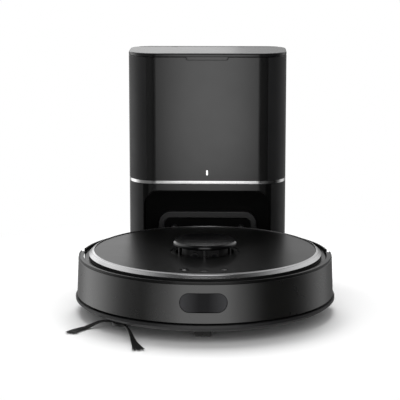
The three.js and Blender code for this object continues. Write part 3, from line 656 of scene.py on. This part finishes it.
def dust_bag():
    """Fleece bag, swelled by its filling, with creases."""
    loops = []
    rows, n = 56, 22
    for i in range(rows + 1):
        t = i / rows
        z = 173.5 + 133 * t
        s = abs(2 * t - 1)
        wx = 76 * (1 - s ** 5) ** 0.4 * 0.22 + 76 * 0.78 * (1 - s ** 9) ** 0.35
        wy = 33 * (1 - s ** 3.2) ** 0.5 + 1.2
        wx = max(wx, 14)
        loop = []
        for x, y in rrect(-1, 1, -1, 1, 0.55, n=n):
            px, py = x * wx, 196 + y * wy
            d = noise.noise(Vector((px * 0.035, py * 0.05, z * 0.03))) * 3.2 + noise.noise(Vector((px * 0.11, py * 0.12, z * 0.08 + 9))) * 1.3
            loop.append((px - d * x * 0.9 - x * 1.5, py - d * y * 0.8 - y * 1.0, z + 0.6 * d * (1 - s)))
        loops.append(loop)
    bag = loft("dust_bag_fleece", loops)
    return bag


bag = dust_bag()
piece(bag, "dock", M["fleece"], "felt", "dust_bag", deg=80)

# ---------------------------------------------------------------- robot: underside and shells
CLIFF = ((-112, -86), (112, -86))
HUB = (-103.0, -108.5)
ARC = 240


def robot_chassis():
    prof = rounded([(0, 12), (161, 12), (167.6, 14.8), (172, 18.4), (172, 22), (160.5, 22), (160.5, 15.5), (0, 15.5)], [0, 2, 1, 1.2, 0.7, 0.4, 0.5, 0], 4, closed=False)
    body = lathe("robot_underbody", prof, ARC)
    body = keep(body, join(box(-200, 200, -200, 20, -10, 500), cyl(165, -5, 60, 0, 0, ARC)))
    body = join(body, cyl(18.8, 14, 23.4, 0, -135), cyl(8, 20, 34, 0, -135))
    for s in (-1, 1):
        for a, b in ((85.5, 89.3), (106.2, 110)):
            x0, x1 = sorted((s * a, s * b))
            body = join(body, prism("cutter", rounded([(43, 14), (53, 14), (53, 46), (43, 46)], [0, 0, 4.8, 4.8], 6), x0, x1, "x"))
    body = join(body, box(79.6, 84, -20, -4, 14, 30))
    body = cut(
        body, cyl(17, 5, 20.9, 0, -135), cyl(4.3, 10, 40, 0, -135, 32), prism("cutter", rrect(-79, 79, -34, 10, 3), 5, 20),
        cyl(4.3, 70, 90, -12, 19.5, 32, "x"), cyl(4.4, 5, 20, HUB[0], HUB[1], 32), prism("cutter", rrect(-20, 20, 99, 119, 2), 5, 20),
    )
    for s in (-1, 1):
        a, b = sorted((s * 104.5, s * 131))
        c, d = sorted((s * 89.2, s * 106.3))
        e, f = sorted((s * 80, s * 115))
        body = cut(body, prism("cutter", rrect(a, b, -38, 42, 3), 5, 18), box(c, d, -22, 36, 5, 18), cyl(3.3, e, f, 48, 40, 32, "x"))
    for x, y in CLIFF:
        body = cut(body, prism("cutter", rrect(x - 10.3, x + 10.3, y - 4.8, y + 4.8, 2), 5, 20))
    # battery hatch outline and screws on the underside
    body = cut(body, cut(prism("cutter", rrect(-66, 66, -112, -52, 6), 11, 12.7), prism("cutter", rrect(-65, 65, -111, -53, 5), 10, 14)))
    for x, y in ((-58, -60), (58, -60), (-58, -104), (58, -104), (-120, 70), (120, 70), (-60, 136), (60, 136)):
        body = cut(body, cyl(3.6, 11, 13.4, x, y, 32))
    return body


piece(robot_chassis(), "robot", M["dark"], "dark", "chassis")


def bin_line(grow, n=40):
    r, w = 141 + grow, 72 + grow
    pts = [(-w, 27.6 - grow), (w, 27.6 - grow)]
    a0 = math.acos(w / r)
    return pts + [(r * math.cos(a0 + (math.pi - 2 * a0) * i / n), r * math.sin(a0 + (math.pi - 2 * a0) * i / n)) for i in range(n + 1)]


def casing():
    rear = lambda y: box(-200, 200, y, 400, -10, 500)
    front = lambda y: box(-200, 200, -200, y, -10, 500)
    wall = keep(lathe("robot_casing", rounded([(162.4, 22.3), (165, 22.3), (165, 76), (162.4, 76)], [0.3, 0.5, 1.0, 0.5], 4), ARC), rear(26))
    deck_f = cyl(159.5, 69.5, 72, 0, 0, ARC)
    deck_r = keep(cyl(163.6, 69.5, 72, 0, 0, ARC), rear(26))
    inner = keep(lathe("cutter", [(155, 16.3), (157.5, 16.3), (157.5, 70), (155, 70)], ARC), front(27))
    body = join(wall, deck_f, deck_r, inner)
    for s in (-1, 1):
        x0, x1 = sorted((s * 120, s * 180))
        body = join(body, keep(lathe("cutter", [(156, 22.3), (163.6, 22.3), (163.6, 72), (156, 72)], ARC), box(x0, x1, 25, 29, 0, 200)))
        a, b = sorted((s * 31.4, s * 36))
        body = join(body, box(a, b, 146.2, 151.8, 70.5, 75), cyl(2.8, a, b, 149, 75, 32, "x"))
    body = cut(
        body, cyl(37, 60, 80, 0, -12, 96), prism("cutter", bin_line(0.6), 60, 80), box(-31, 31, 144, 156, 60, 74),
        cyl(10.8, 0, 44, HUB[0], HUB[1]), cyl(1.8, -40, 40, 149, 75, 24, "x"),
    )
    for s in (-1, 1):
        x0, x1 = sorted((s * 40.7, s * 55.3))
        body = cut(body, keep(lathe("cutter", [(163.4, 60), (168, 60), (168, 75.8), (163.4, 75.8)], ARC), box(x0, x1, 100, 200, 62.7, 75.8)))
    # exhaust louvres low in the side
    body = cut(body, *[prism("cutter", rrect(52 + 7 * i, 55.5 + 7 * i, 34, 60, 1.7, n=6), 120, 180, "x") for i in range(6)])
    return body


piece(casing(), "robot", M["satin"], "satin_black", "upper_casing")


def bumper_r(z):
    return 169.9 - 2.0 * (z - 25) / 48


def bumper_shell():
    prof = rounded([(167.3, 24.2), (169.9, 24.2), (169.9, 25), (bumper_r(49), 49), (167.95, 72.6), (166.9, 73.3), (166.9, 74.1), (167.6, 74.9), (166.9, 76.1), (165.9, 76.1), (165.5, 75.2), (161.6, 75.2), (161, 74.9), (161, 73.6), (165.1, 73.2)],
                   [0.3, 0.6, 0, 0, 0.5, 0.2, 0.2, 0.5, 0.5, 0.4, 0.2, 0.3, 0.2, 0.2, 0.3], 4)
    body = keep(lathe("bumper_shell", prof, 300), box(-200, 200, -200, 12, -10, 500))
    body = cut(body, prism("cutter", rrect(-29, 31, 37.6, 62.5, 12.4, n=20), -180, -150, "y"))
    return body


bumper = bumper_shell()
paint(bumper, M["bumper"], M["cover"], M["alcove"])
# painted shade: the inward-facing wall below 75 mm takes the alcove plastic, and the top lip above 72.8 mm takes the
# darker, duller cover finish to keep it dark
zones(bumper, [(2, lambda p, n: p[2] < 75 and (p[0] * n.x + p[1] * n.y) < -60 and math.hypot(p[0], p[1]) < 166.2), (1, lambda p, n: p[2] > 72.8)])
bevel(bumper, 0.35, 50, 3)
piece(bumper, "bumper", M["bumper"], "graphite", "bumper")


def window():
    """Pill-shaped window that follows the bumper's curve, a little sunk, with a rounded rim."""
    x0, x1, z0, z1, r = -28.65, 30.65, 37.95, 62.15, 12.05
    layers = [(0.0, 1.9), (0.0, 0.75), (0.12, 0.5), (0.4, 0.32), (0.9, 0.25), (3, 0.22), (6, 0.2), (9, 0.2), (11.6, 0.2)]
    n = 20
    loops = []
    for inset, sunk in layers:
        loop = []
        for x, z in rrect(x0 + inset, x1 - inset, z0 + inset, z1 - inset, r - inset, n=n):
            rr = bumper_r(z) - sunk
            loop.append((x, -math.sqrt(rr * rr - x * x), z))
        loops.append(loop)
    return loft("sensor_window_lens", loops)


piece(window(), "bumper", M["lens"], "smoke", "sensor_window", deg=50)

# ---------------------------------------------------------------- robot: cover
BUTTONS = (("button_home", -24, -122), ("button_power", 1, -128), ("button_spot", 26, -119))


def cover():
    body = lathe("top_cover_plate", rounded([(0, 78.7), (146.7, 78.7), (146.7, 81.2), (0, 81.2)], [0, 0.3, 0.3, 0], 4, closed=False), ARC)
    body = join(body, prism("cutter", rounded([(143.5, 79), (143.5, 73.5), (146, 72.2), (151.5, 72.2), (151.8, 75), (150.5, 78.3), (147, 78.3), (146.6, 79)], 0.5, 4), -30, 30, "x"))
    body = cut(body, cyl(45, 60, 90, 0, -12, 128), cyl(1.8, -40, 40, 149, 75, 24, "x"))
    return cut(body, *[cyl(5.6, 60, 90, x, y, 40) for _, x, y in BUTTONS])


piece(cover(), "top_cover", M["cover"], "satin_black", "top_cover")


def trim_ring():
    ring = lathe("cover_ring", rounded([(143, 72.6), (154, 72.6), (154, 77.2), (149.9, 80.7), (149.75, 81.0), (147.2, 82.3), (146.7, 81.9), (146.9, 78.4), (143, 78.4)], [0.3, 0.4, 0.4, 0.1, 0.1, 0.3, 0.2, 0.2, 0.2], 4), 300)
    ring = cut(ring, box(-37.5, 37.5, 138, 160, 60, 79.3), prism("cutter", rrect(-20, 20, 60, 75.6, 2), -160, -151.6, "y"))
    paint(ring, M["silver"], M["satin"])
    # painted shade: faces below 78.5 mm that face sideways, the ring's lower outer wall and edge, take black satin in
    # place of silver
    zones(ring, [(1, lambda p, n: n.z < 0.72 and p[2] < 78.5)])
    return ring


piece(trim_ring(), "top_cover", M["silver"], "silver", "cover_trim_ring", deg=28)
for name, x, y in BUTTONS:
    b = lathe(f"{name}_cap", rounded([(0, 76.5), (6.6, 76.5), (6.6, 78.1), (5.2, 78.1), (5.2, 81.0), (3.4, 80.75), (0, 80.6)], [0, 0.2, 0.2, 0, 0.5, 0.6, 0], 4, closed=False), 48, (x, y))
    piece(b, name, M["cover"], "satin_black", name)


def mark(name, parts, x, y, body):
    """Printed sign: flat shapes a few hundredths of a millimetre above the button."""
    verts, faces = [], []
    for pts in parts:
        o = len(verts)
        verts += [(x + a, y + b, z) for z in (80.78, 81.06) for a, b in pts]
        n = len(pts)
        faces += [tuple(o + n + k for k in range(n)), tuple(o + k for k in reversed(range(n)))]
        faces += [(o + k, o + (k + 1) % n, o + n + (k + 1) % n, o + n + k) for k in range(n)]
    ob = mesh(name, verts, faces)
    piece(ob, body, M["white"], "white", shade=False)


def arc_strip(r, w, a0, a1, n=28):
    ang = [math.radians(a0 + (a1 - a0) * i / n) for i in range(n + 1)]
    return [((r - w) * math.cos(a), (r - w) * math.sin(a)) for a in ang] + [((r + w) * math.cos(a), (r + w) * math.sin(a)) for a in reversed(ang)]


mark("home_sign", [[(-3, 0), (3, 0), (0, 3.2)], [(-2.1, -2.6), (2.1, -2.6), (2.1, -0.2), (-2.1, -0.2)]], -24, -122, "button_home")
mark("power_sign", [arc_strip(2.5, 0.35, -230, 50), [(-0.35, 0.3), (0.35, 0.3), (0.35, 3.4), (-0.35, 3.4)]], 1, -128, "button_power")
mark("spot_sign", [arc_strip(2.6, 0.32, 2, 358), [(0.9 * math.cos(a * math.pi / 8), 0.9 * math.sin(a * math.pi / 8)) for a in range(16)]], 26, -119, "button_spot")


# ---------------------------------------------------------------- robot: laser turret
def turret():
    g = lathe("turret_guard", rounded([(38.4, 72.4), (40, 72.4), (40, 77.6), (44.4, 77.6), (44.4, 81.0), (38.4, 81.0)], [0.2, 0.2, 0, 0.2, 0.3, 0.3], 4), 128, (0, -12))
    cap = lathe("cutter", rounded([(0, 90.3), (40, 90.3), (42, 91.6), (42, 94.2), (39.8, 96.5), (0, 96.5)], [0, 0.4, 0.6, 1.4, 1.6, 0], 6, closed=False), 128, (0, -12))
    g = join(g, cap)
    posts = []
    for k in range(6):
        a = -math.pi / 2 + k * math.pi / 3
        c, s = math.cos(a), math.sin(a)
        pts = [(37.9 + u, v) for u, v in rrect(-1.3, 1.3, -1.6, 1.6, 0.45, n=4)]
        posts.append(prism("cutter", [(u * c - v * s, -12 + u * s + v * c) for u, v in pts], 79.6, 90.9))
    g = join(g, *posts)
    paint(g, M["gloss"], M["cover"])
    zones(g, [(1, lambda p, n: p[2] < 81.2)])
    return g


piece(turret(), "robot", M["gloss"], "gloss_black", "lidar_guard", deg=40)


def scanner():
    body = lathe("turret_scanner", rounded([(0, 48), (6, 48), (6, 60.5), (33, 60.5), (33, 62.2), (31.5, 62.2), (31.5, 65.8), (33, 65.8), (33, 67.5), (31, 69), (30, 89.4), (0, 89.4)],
                                           [0, 0.4, 0.3, 0.4, 0, 0, 0, 0.4, 0.5, 0.8, 1.2, 0], 4, closed=False), 96, (0, -12))
    body = cut(body, box(-40, 40, -52, -36, 68, 92))
    for x in (-13, 13):
        body = join(body, lathe("cutter", rounded([(0, -38.6), (3.6, -38.9), (6, -39), (6, -30), (0, -30)], [0, 0.6, 0.6, 0, 0], 3, closed=False), 40, (x, 79), "y"))
    paint(body, M["dark"], M["lens"])
    zones(body, [(1, lambda p, n: p[1] < -38.2 and any((p[0] - x) ** 2 + (p[2] - 79) ** 2 < 18 for x in (-13, 13)))])
    return body


piece(scanner(), "lidar_rotor", M["dark"], "dark", "lidar_rotor")


# ---------------------------------------------------------------- robot: brushes
def roller():
    """Moulded roller: a core and six fins that sweep back from the middle, each with a rounded tip."""
    loops = []
    steps = 64
    for i in range(steps + 1):
        x = -76 + 152 * i / steps
        t = 0.9 * abs(x) / 76
        loop = []
        for k in range(6):
            a = k * math.pi / 3 + t
            for r, d in ((12.2, -0.26), (12.6, -0.16), (15.5, -0.085), (18.3, -0.06), (18.9, -0.03), (19.0, 0.0), (18.9, 0.03), (18.3, 0.06), (15.5, 0.085), (12.6, 0.16), (12.2, 0.26)):
                loop.append((x, -12 + r * math.cos(a + d), 19.5 + r * math.sin(a + d)))
            for d in (0.36, 0.48, 0.6, 0.72):
                loop.append((x, -12 + 12.0 * math.cos(a + d - 0.02), 19.5 + 12.0 * math.sin(a + d - 0.02)))
        loops.append(loop)
    body = loft("main_brush", loops)
    return join(body, cyl(4, -84, -75, -12, 19.5, 32, "x"), cyl(4, 75, 83, -12, 19.5, 32, "x"))


piece(roller(), "brush_roller", M["rubber"], "rubber", "brush_roller", deg=40)


def guard_frame():
    g = soft_prism("brush_guard_frame", lambda i: rrect(-88 + i, 88 - i, -41 + i, 16 - i, 4 - i), 8.9, 11.7, 0, r_lo=0.8)
    g = cut(g, prism("cutter", rrect(-80, 80, -33, 9, 2.5), 5, 15))
    return g


piece(guard_frame(), "robot", M["satin"], "satin_black", "brush_guard")

hub = lathe("side_brush_boss", rounded([(0, 5.6), (8.5, 5.6), (10, 6.8), (10, 11.2), (3.8, 11.2), (3.8, 28), (0, 28)], [0, 1.2, 0.8, 0.5, 0.3, 0.4, 0], 4, closed=False), 64, HUB)
for k in range(3):
    a = math.radians(30 + 120 * k)
    hub = cut(hub, cyl(1.3, 5, 6.6, HUB[0] + 5.4 * math.cos(a), HUB[1] + 5.4 * math.sin(a), 20))
hub = cut(hub, cyl(2.2, 5, 6.8, HUB[0], HUB[1], 24))
piece(hub, "side_brush", M["dark"], "dark", "side_brush_hub")

TUFTS = ((145, 0.97, 70), (-73, -0.04, 105.5), (40, 0.3, 80))


def tufts():
    """Each tuft is a bundle of single nylon hairs that spreads and sags to the floor."""
    rnd = random.Random(11)
    verts, faces = [], []
    sides, steps = 4, 11
    for deg, bend, length in TUFTS:
        a = math.radians(deg)
        for j in range(90):
            s = rnd.uniform(-1, 1)
            h = rnd.uniform(0.1, 2.4)
            far = length * rnd.uniform(0.93, 1.0)
            curl = rnd.uniform(-0.03, 0.03)
            tip = rnd.uniform(0.0, 1.2)
            rings = []
            for i in range(steps + 1):
                t = i / steps
                r = 10.5 + (far - 10.5) * t
                b = a + (bend + curl * t) * t
                w = s * (1.0 + 1.2 * t + 4.0 * t ** 2.2)
                m = b + math.pi / 2 + math.atan(r * bend / (far - 10.5))
                u = min(1.0, max(0.0, (t - 0.28) / 0.4))
                x = HUB[0] + r * math.cos(b) + w * math.cos(m)
                y = HUB[1] + r * math.sin(b) + w * math.sin(m)
                z = 7.2 - 6.5 * u * u * (3 - 2 * u) + h * (1 - 0.55 * t) + tip * t * t
                rad = 0.36 - 0.16 * t
                z = max(z, rad + 0.12)
                rings.append([(x + rad * math.cos(m) * math.cos(q), y + rad * math.sin(m) * math.cos(q), z + rad * math.sin(q)) for q in (math.pi / 4 + math.pi / 2 * k for k in range(sides))])
            o = len(verts)
            for ring in rings:
                verts += ring
            for i in range(steps):
                for k in range(sides):
                    l = (k + 1) % sides
                    faces.append((o + i * sides + k, o + i * sides + l, o + (i + 1) * sides + l, o + (i + 1) * sides + k))
            faces.append(tuple(o + k for k in reversed(range(sides))))
            faces.append(tuple(o + steps * sides + k for k in range(sides)))
    return mesh("side_brush_hairs", verts, faces)


piece(tufts(), "side_brush", M["bristle"], "dark", "side_brush_bristles", deg=70)
crimp = lathe("side_brush_collar", rounded([(10.3, 6.6), (13, 6.6), (13, 10), (10.3, 10)], 0.5, 3), 64, HUB)
piece(crimp, "side_brush", M["dark"], "dark")


# ---------------------------------------------------------------- robot: wheels
def wheel(side, s):
    prof = [(0, 94), (3, 94), (3, 106.4), (25.6, 107), (25.6, 127), (20, 127), (18, 122), (8, 122), (7, 125.5), (0, 125.5)]
    w = lathe(f"wheel_{side}_hub", rounded([(r, s * x) for r, x in prof], [0, 0.3, 0.3, 0.4, 0.8, 0.8, 1.5, 1.5, 1, 0], 4, closed=False), 80, (0, 33), "x")
    holes = []
    for k in range(6):
        a = math.radians(60 * k)
        x0, x1 = sorted((s * 118.5, s * 124))
        holes.append(cyl(3.2, x0, x1, 13 * math.cos(a), 33 + 13 * math.sin(a), 28, "x"))
    return cut(w, *holes)


def tyre(side, s):
    r = 33.0
    prof = rounded([(26.2, s * 107), (31, s * 107), (r, s * 109), (r, s * 125), (31, s * 127), (26.2, s * 127)], [0.3, 1.2, 1.4, 1.4, 1.2, 0.3], 4)
    t = lathe(f"tyre_{side}_tread", prof, 160, (0, 33), "x")
    grooves = []
    n = 24
    for k in range(n):
        a = -math.pi / 2 + math.pi / n + 2 * math.pi * k / n
        loops = []
        for x, d in ((105, 0.12), (117, 0.0), (129, 0.12)):
            loops.append([(s * x, rr * math.cos(a + d + e), 33 + rr * math.sin(a + d + e)) for rr, e in ((30.6, -0.028), (34.5, -0.045), (34.5, 0.045), (30.6, 0.028))])
        grooves.append(loft("cutter", loops))
    return cut(t, *grooves)


for side, s in (("left", -1), ("right", 1)):
    piece(wheel(side, s), f"wheel_{side}", M["satin"], "satin_black", f"wheel_{side}")
    piece(tyre(side, s), f"wheel_{side}", M["rubber"], "rubber", f"tyre_{side}")


def caster():
    f = join(lathe("caster_yoke", rounded([(0, 11.6), (16.5, 11.6), (16.5, 20.4), (0, 20.4)], [0, 0.3, 0.8, 0], 4, closed=False), 72, (0, -135)), cyl(4, 20, 33, 0, -135, 32),
             lathe("cutter", rounded([(0, 5), (12.5, 5), (16.5, 12), (0, 12)], [0, 1.5, 0.5, 0], 4, closed=False), 72, (0, -135)))
    return cut(f, box(-10.9, 10.9, -155, -115, 0, 9.4), cyl(9.4, -10.9, 10.9, -139.5, 9, 64, "x"), cyl(1.9, -14.6, 14.6, -139.5, 9, 24, "x"))


piece(caster(), "caster_fork", M["dark"], "dark", "caster_fork")
cw = lathe("caster_roller", rounded([(0, -13), (1.6, -13), (1.6, -10.5), (7.6, -10.5), (9, -8.6), (9, -1), (8.5, 0), (9, 1), (9, 8.6), (7.6, 10.5), (1.6, 10.5), (1.6, 13), (0, 13)],
                                    [0, 0.2, 0.2, 0.5, 0.8, 0.3, 0.3, 0.3, 0.8, 0.5, 0.2, 0.2, 0], 3, closed=False), 64, (-139.5, 9), "x")
piece(cw, "caster_wheel", M["rubber"], "rubber", "caster_wheel")


# ---------------------------------------------------------------- pieces kept from the CAD model
KEPT = {
    "cliff_sensor_left": "lens", "cliff_sensor_right": "lens", "contact_pad_left": "contact", "contact_pad_right": "contact", "cover_hinge_pin": "steel",
    "dock_lid_pin": "steel", "bumper_spring_left": "steel", "bumper_spring_right": "steel", "lidar_base": "dark", "lidar_motor": "steel", "lidar_pulley": "brass",
    "lidar_belt": "rubber", "main_board": "board", "battery": "battery", "suction_fan": "dark", "dustbin": "clear", "dustbin_filter": "fleece", "brush_gearbox": "dark",
    "side_brush_motor": "steel", "wheel_arm_left": "dark", "wheel_arm_right": "dark", "dock_foot_left": "rubber", "dock_foot_right": "rubber", "dock_duct": "dark",
    "dock_port_seal": "rubber", "bag_collar": "card", "dock_motor": "dark", "dock_board": "board", "power_inlet": "dark",
}
for name, m in KEPT.items():
    ob = NODES[name]
    ob.data.materials.clear()
    ob.data.materials.append(M[m])
    w = ob.modifiers.new("weld", "WELD")
    w.merge_threshold = 1e-6
    width = 0.12 if name in ("bumper_spring_left", "bumper_spring_right", "lidar_belt", "dustbin_filter") else 0.3
    bevel(ob, width, 35)

# ---------------------------------------------------------------- stage, light and camera
floor_me = bpy.data.meshes.new("floor")
floor_me.from_pydata([(-9, -9, 0), (9, -9, 0), (9, 9, 0), (-9, 9, 0)], [], [(0, 1, 2, 3)])
floor = bpy.data.objects.new("floor", floor_me)
scene.collection.objects.link(floor)
fg = Graph("floor_paint")
fg.set(Base_Color=(0.88, 0.88, 0.88), Roughness=0.9, IOR=1.2)
flat = fg.node("ShaderNodeVectorMath", operation="LENGTH")
fg.link(fg.stretch(1, 0.85, 0), flat.inputs[0])
glow, blend = fg.node("ShaderNodeEmission"), fg.node("ShaderNodeMixShader")
glow.inputs["Strength"].default_value = 1.0
away = fg.node("ShaderNodeMapRange", interpolation_type="SMOOTHSTEP")
away.inputs["From Min"].default_value, away.inputs["From Max"].default_value = 0.24, 0.5
fg.link(flat.outputs["Value"], away.inputs["Value"])
fg.link(away.outputs[0], blend.inputs[0])
fg.link(fg.b.outputs[0], blend.inputs[1])
fg.link(glow.outputs[0], blend.inputs[2])
fg.link(blend.outputs[0], fg.out.inputs[0])
floor_me.materials.append(fg.m)
floor.visible_glossy = False


def aim(ob, target):
    d = Vector(target) - ob.location
    ob.rotation_mode = "QUATERNION"
    ob.rotation_quaternion = d.to_track_quat("-Z", "Y")


def area(name, place, target, w, h, power):
    l = bpy.data.lights.new(name, "AREA")
    l.shape, l.size, l.size_y, l.energy = "RECTANGLE", w, h, power
    ob = bpy.data.objects.new(name, l)
    ob.location = place
    scene.collection.objects.link(ob)
    aim(ob, target)
    return ob


top = area("top_softbox", (-0.1, 1.0, 1.9), (0, -0.1, 0.0), 1.6, 1.2, 46)
top.visible_glossy = False


def card(name, x0, x1, y, z0, z1, strength, low, high):
    """Bright panel in front of the object, seen only in its reflections, with a soft edge left and right."""
    me = bpy.data.meshes.new(name)
    me.from_pydata([(x0, y, z0), (x1, y, z0), (x1, y, z1), (x0, y, z1)], [], [(0, 1, 2, 3)])
    ob = bpy.data.objects.new(name, me)
    scene.collection.objects.link(ob)
    g = Graph(name)
    g.t.nodes.remove(g.b)
    sep = g.node("ShaderNodeSeparateXYZ")
    g.link(g.co, sep.inputs[0])
    place = g.remap(sep.outputs["X"], 0, 1, x0, x1)
    levels = []
    for fall in (low, high):
        across = g.node("ShaderNodeValToRGB")
        for i, (x, v) in enumerate(fall):
            e = across.color_ramp.elements[i] if i < 2 else across.color_ramp.elements.new(1)
            e.position, e.color = (x - x0) / (x1 - x0), (v, v, v, 1)
        g.link(place, across.inputs[0])
        levels.append(across.outputs[0])
    em = g.node("ShaderNodeEmission")
    rise = g.remap(sep.outputs["Z"], strength, 1.27 * strength, 0.09, 0.14)
    g.link(g.math("MULTIPLY", g.mix(g.remap(sep.outputs["Z"], 0, 1, 0.062, 0.082), levels[0], levels[1]), rise), em.inputs["Strength"])
    g.link(em.outputs[0], g.out.inputs[0])
    me.materials.append(g.m)
    ob.visible_camera = ob.visible_diffuse = ob.visible_shadow = ob.visible_transmission = False
    return ob


card("front_card", -0.205, 0.19, -0.25, -0.7, 0.4, 1.3,
     ((-0.205, 0), (-0.165, 0.16), (-0.13, 0.3), (-0.1, 0.45), (-0.078, 0.58), (-0.062, 0.78), (-0.05, 0.95), (0.05, 0.97), (0.062, 0.85), (0.075, 0.66), (0.095, 0.48), (0.122, 0.28), (0.15, 0.12), (0.19, 0)),
     ((-0.095, 0), (-0.084, 0.12), (-0.073, 0.5), (-0.063, 0.85), (-0.052, 1), (-0.04, 1), (0.045, 1.0), (0.056, 0.94), (0.065, 0.74), (0.074, 0.44), (0.084, 0.18), (0.095, 0)))


def studio():
    world = bpy.data.worlds.new("studio")
    scene.world = world
    world.use_nodes = True
    t = world.node_tree
    t.nodes.clear()
    def new(kind, **v):
        n = t.nodes.new(kind)
        for k, x in v.items():
            setattr(n, k, x)
        return n

    def op(kind, a, b=None):
        n = new("ShaderNodeMath", operation=kind)
        for i, v in enumerate((a, b)):
            if v is None:
                continue
            if isinstance(v, (int, float)):
                n.inputs[i].default_value = v
            else:
                t.links.new(v, n.inputs[i])
        return n.outputs[0]

    out, bg = new("ShaderNodeOutputWorld"), new("ShaderNodeBackground")
    t.links.new(bg.outputs[0], out.inputs[0])
    tc, sep, lp = new("ShaderNodeTexCoord"), new("ShaderNodeSeparateXYZ"), new("ShaderNodeLightPath")
    t.links.new(tc.outputs["Generated"], sep.inputs[0])
    # heading round the object: 0.5 is towards the front, 0 and 1 towards the back, below 0.5 to the left
    heading = op("ADD", op("DIVIDE", op("ARCTAN2", sep.outputs["X"], op("MULTIPLY", sep.outputs["Y"], -1)), 2 * math.pi), 0.5)
    stops = [(-180, 1.8), (-150, 1.5), (-125, 1.65), (-105, 1.55), (-90, 0.85), (-75, 0.26), (-50, 0.16), (-20, 0.16), (20, 0.1), (45, 0.02), (80, 0.0), (98, 0.14), (115, 0.7), (135, 1.0), (160, 0.85), (180, 1.02)]
    def round_about(levels):
        ramp = new("ShaderNodeValToRGB")
        while len(ramp.color_ramp.elements) > 1:
            ramp.color_ramp.elements.remove(ramp.color_ramp.elements[-1])
        for i, (deg, v) in enumerate(levels):
            pos = deg / 360 + 0.5
            e = ramp.color_ramp.elements[0] if i == 0 else ramp.color_ramp.elements.new(pos)
            e.position = pos
            e.color = (v / 2, v / 2, v / 2, 1)
        t.links.new(heading, ramp.inputs[0])
        return ramp.outputs[0]

    # the left and the middle of the back are dimmer higher up
    lift = new("ShaderNodeMapRange", interpolation_type="SMOOTHSTEP")
    lift.inputs["From Min"].default_value, lift.inputs["From Max"].default_value = 0.28, 0.48
    t.links.new(sep.outputs["Z"], lift.inputs["Value"])
    loss = op("MULTIPLY", op("MULTIPLY", round_about([(-180, 0.2), (-155, 0.36), (-60, 0.33), (0, 0), (60, 0), (150, 0.04), (180, 0.2)]), 2), lift.outputs[0])
    # the back is darker below eye level, so that the outlines of upright walls stay dark
    low = new("ShaderNodeMapRange", interpolation_type="SMOOTHSTEP")
    low.inputs["From Min"].default_value, low.inputs["From Max"].default_value = 0.215, 0.01
    t.links.new(sep.outputs["Z"], low.inputs["Value"])
    back = new("ShaderNodeMapRange", interpolation_type="SMOOTHSTEP")
    back.inputs["From Min"].default_value, back.inputs["From Max"].default_value = 0.34, 0.42
    t.links.new(op("ABSOLUTE", op("SUBTRACT", heading, 0.5)), back.inputs["Value"])
    shade = op("SUBTRACT", 1.0, op("MULTIPLY", op("MULTIPLY", low.outputs[0], back.outputs[0]), 0.75))
    side = op("MULTIPLY", op("MULTIPLY", op("MULTIPLY", round_about(stops), 2), shade), op("SUBTRACT", 1.0, loss))
    # dark overhead, growing paler towards the sides
    overhead = new("ShaderNodeValToRGB")
    for i, (z, v) in enumerate([(0.5, 1), (0.73, 0.86), (0.91, 0.32), (0.97, 0.07), (1.0, 0.03)]):
        e = overhead.color_ramp.elements[i] if i < 2 else overhead.color_ramp.elements.new(1)
        e.position, e.color = z, (v, v, v, 1)
    t.links.new(sep.outputs["Z"], overhead.inputs[0])
    mixed = op("MULTIPLY", side, overhead.outputs[0])
    glossy = op("MULTIPLY", mixed, lp.outputs["Is Glossy Ray"])
    rest = op("SUBTRACT", 1.0, op("MAXIMUM", lp.outputs["Is Glossy Ray"], lp.outputs["Is Camera Ray"]))
    total = op("ADD", op("ADD", glossy, op("MULTIPLY", rest, 0.75)), lp.outputs["Is Camera Ray"])
    t.links.new(total, bg.inputs["Strength"])


studio()

psi, pitch = 0.0217, 0.1879
right = Vector((math.cos(psi), math.sin(psi), 0))
fwd = Vector((-math.sin(psi) * math.cos(pitch), math.cos(psi) * math.cos(pitch), -math.sin(pitch)))
up = right.cross(fwd)
cam = bpy.data.cameras.new("camera")
cam.sensor_width, cam.lens, cam.clip_start, cam.clip_end = 36, 1652.5 * 36 / 400, 0.01, 100
camera = bpy.data.objects.new("camera", cam)
scene.collection.objects.link(camera)
camera.matrix_world = Matrix.Translation((0.0397, -2.1615, 0.5551)) @ Matrix((right, up, -fwd)).transposed().to_4x4()
scene.camera = camera
scene.view_settings.view_transform = "Standard"
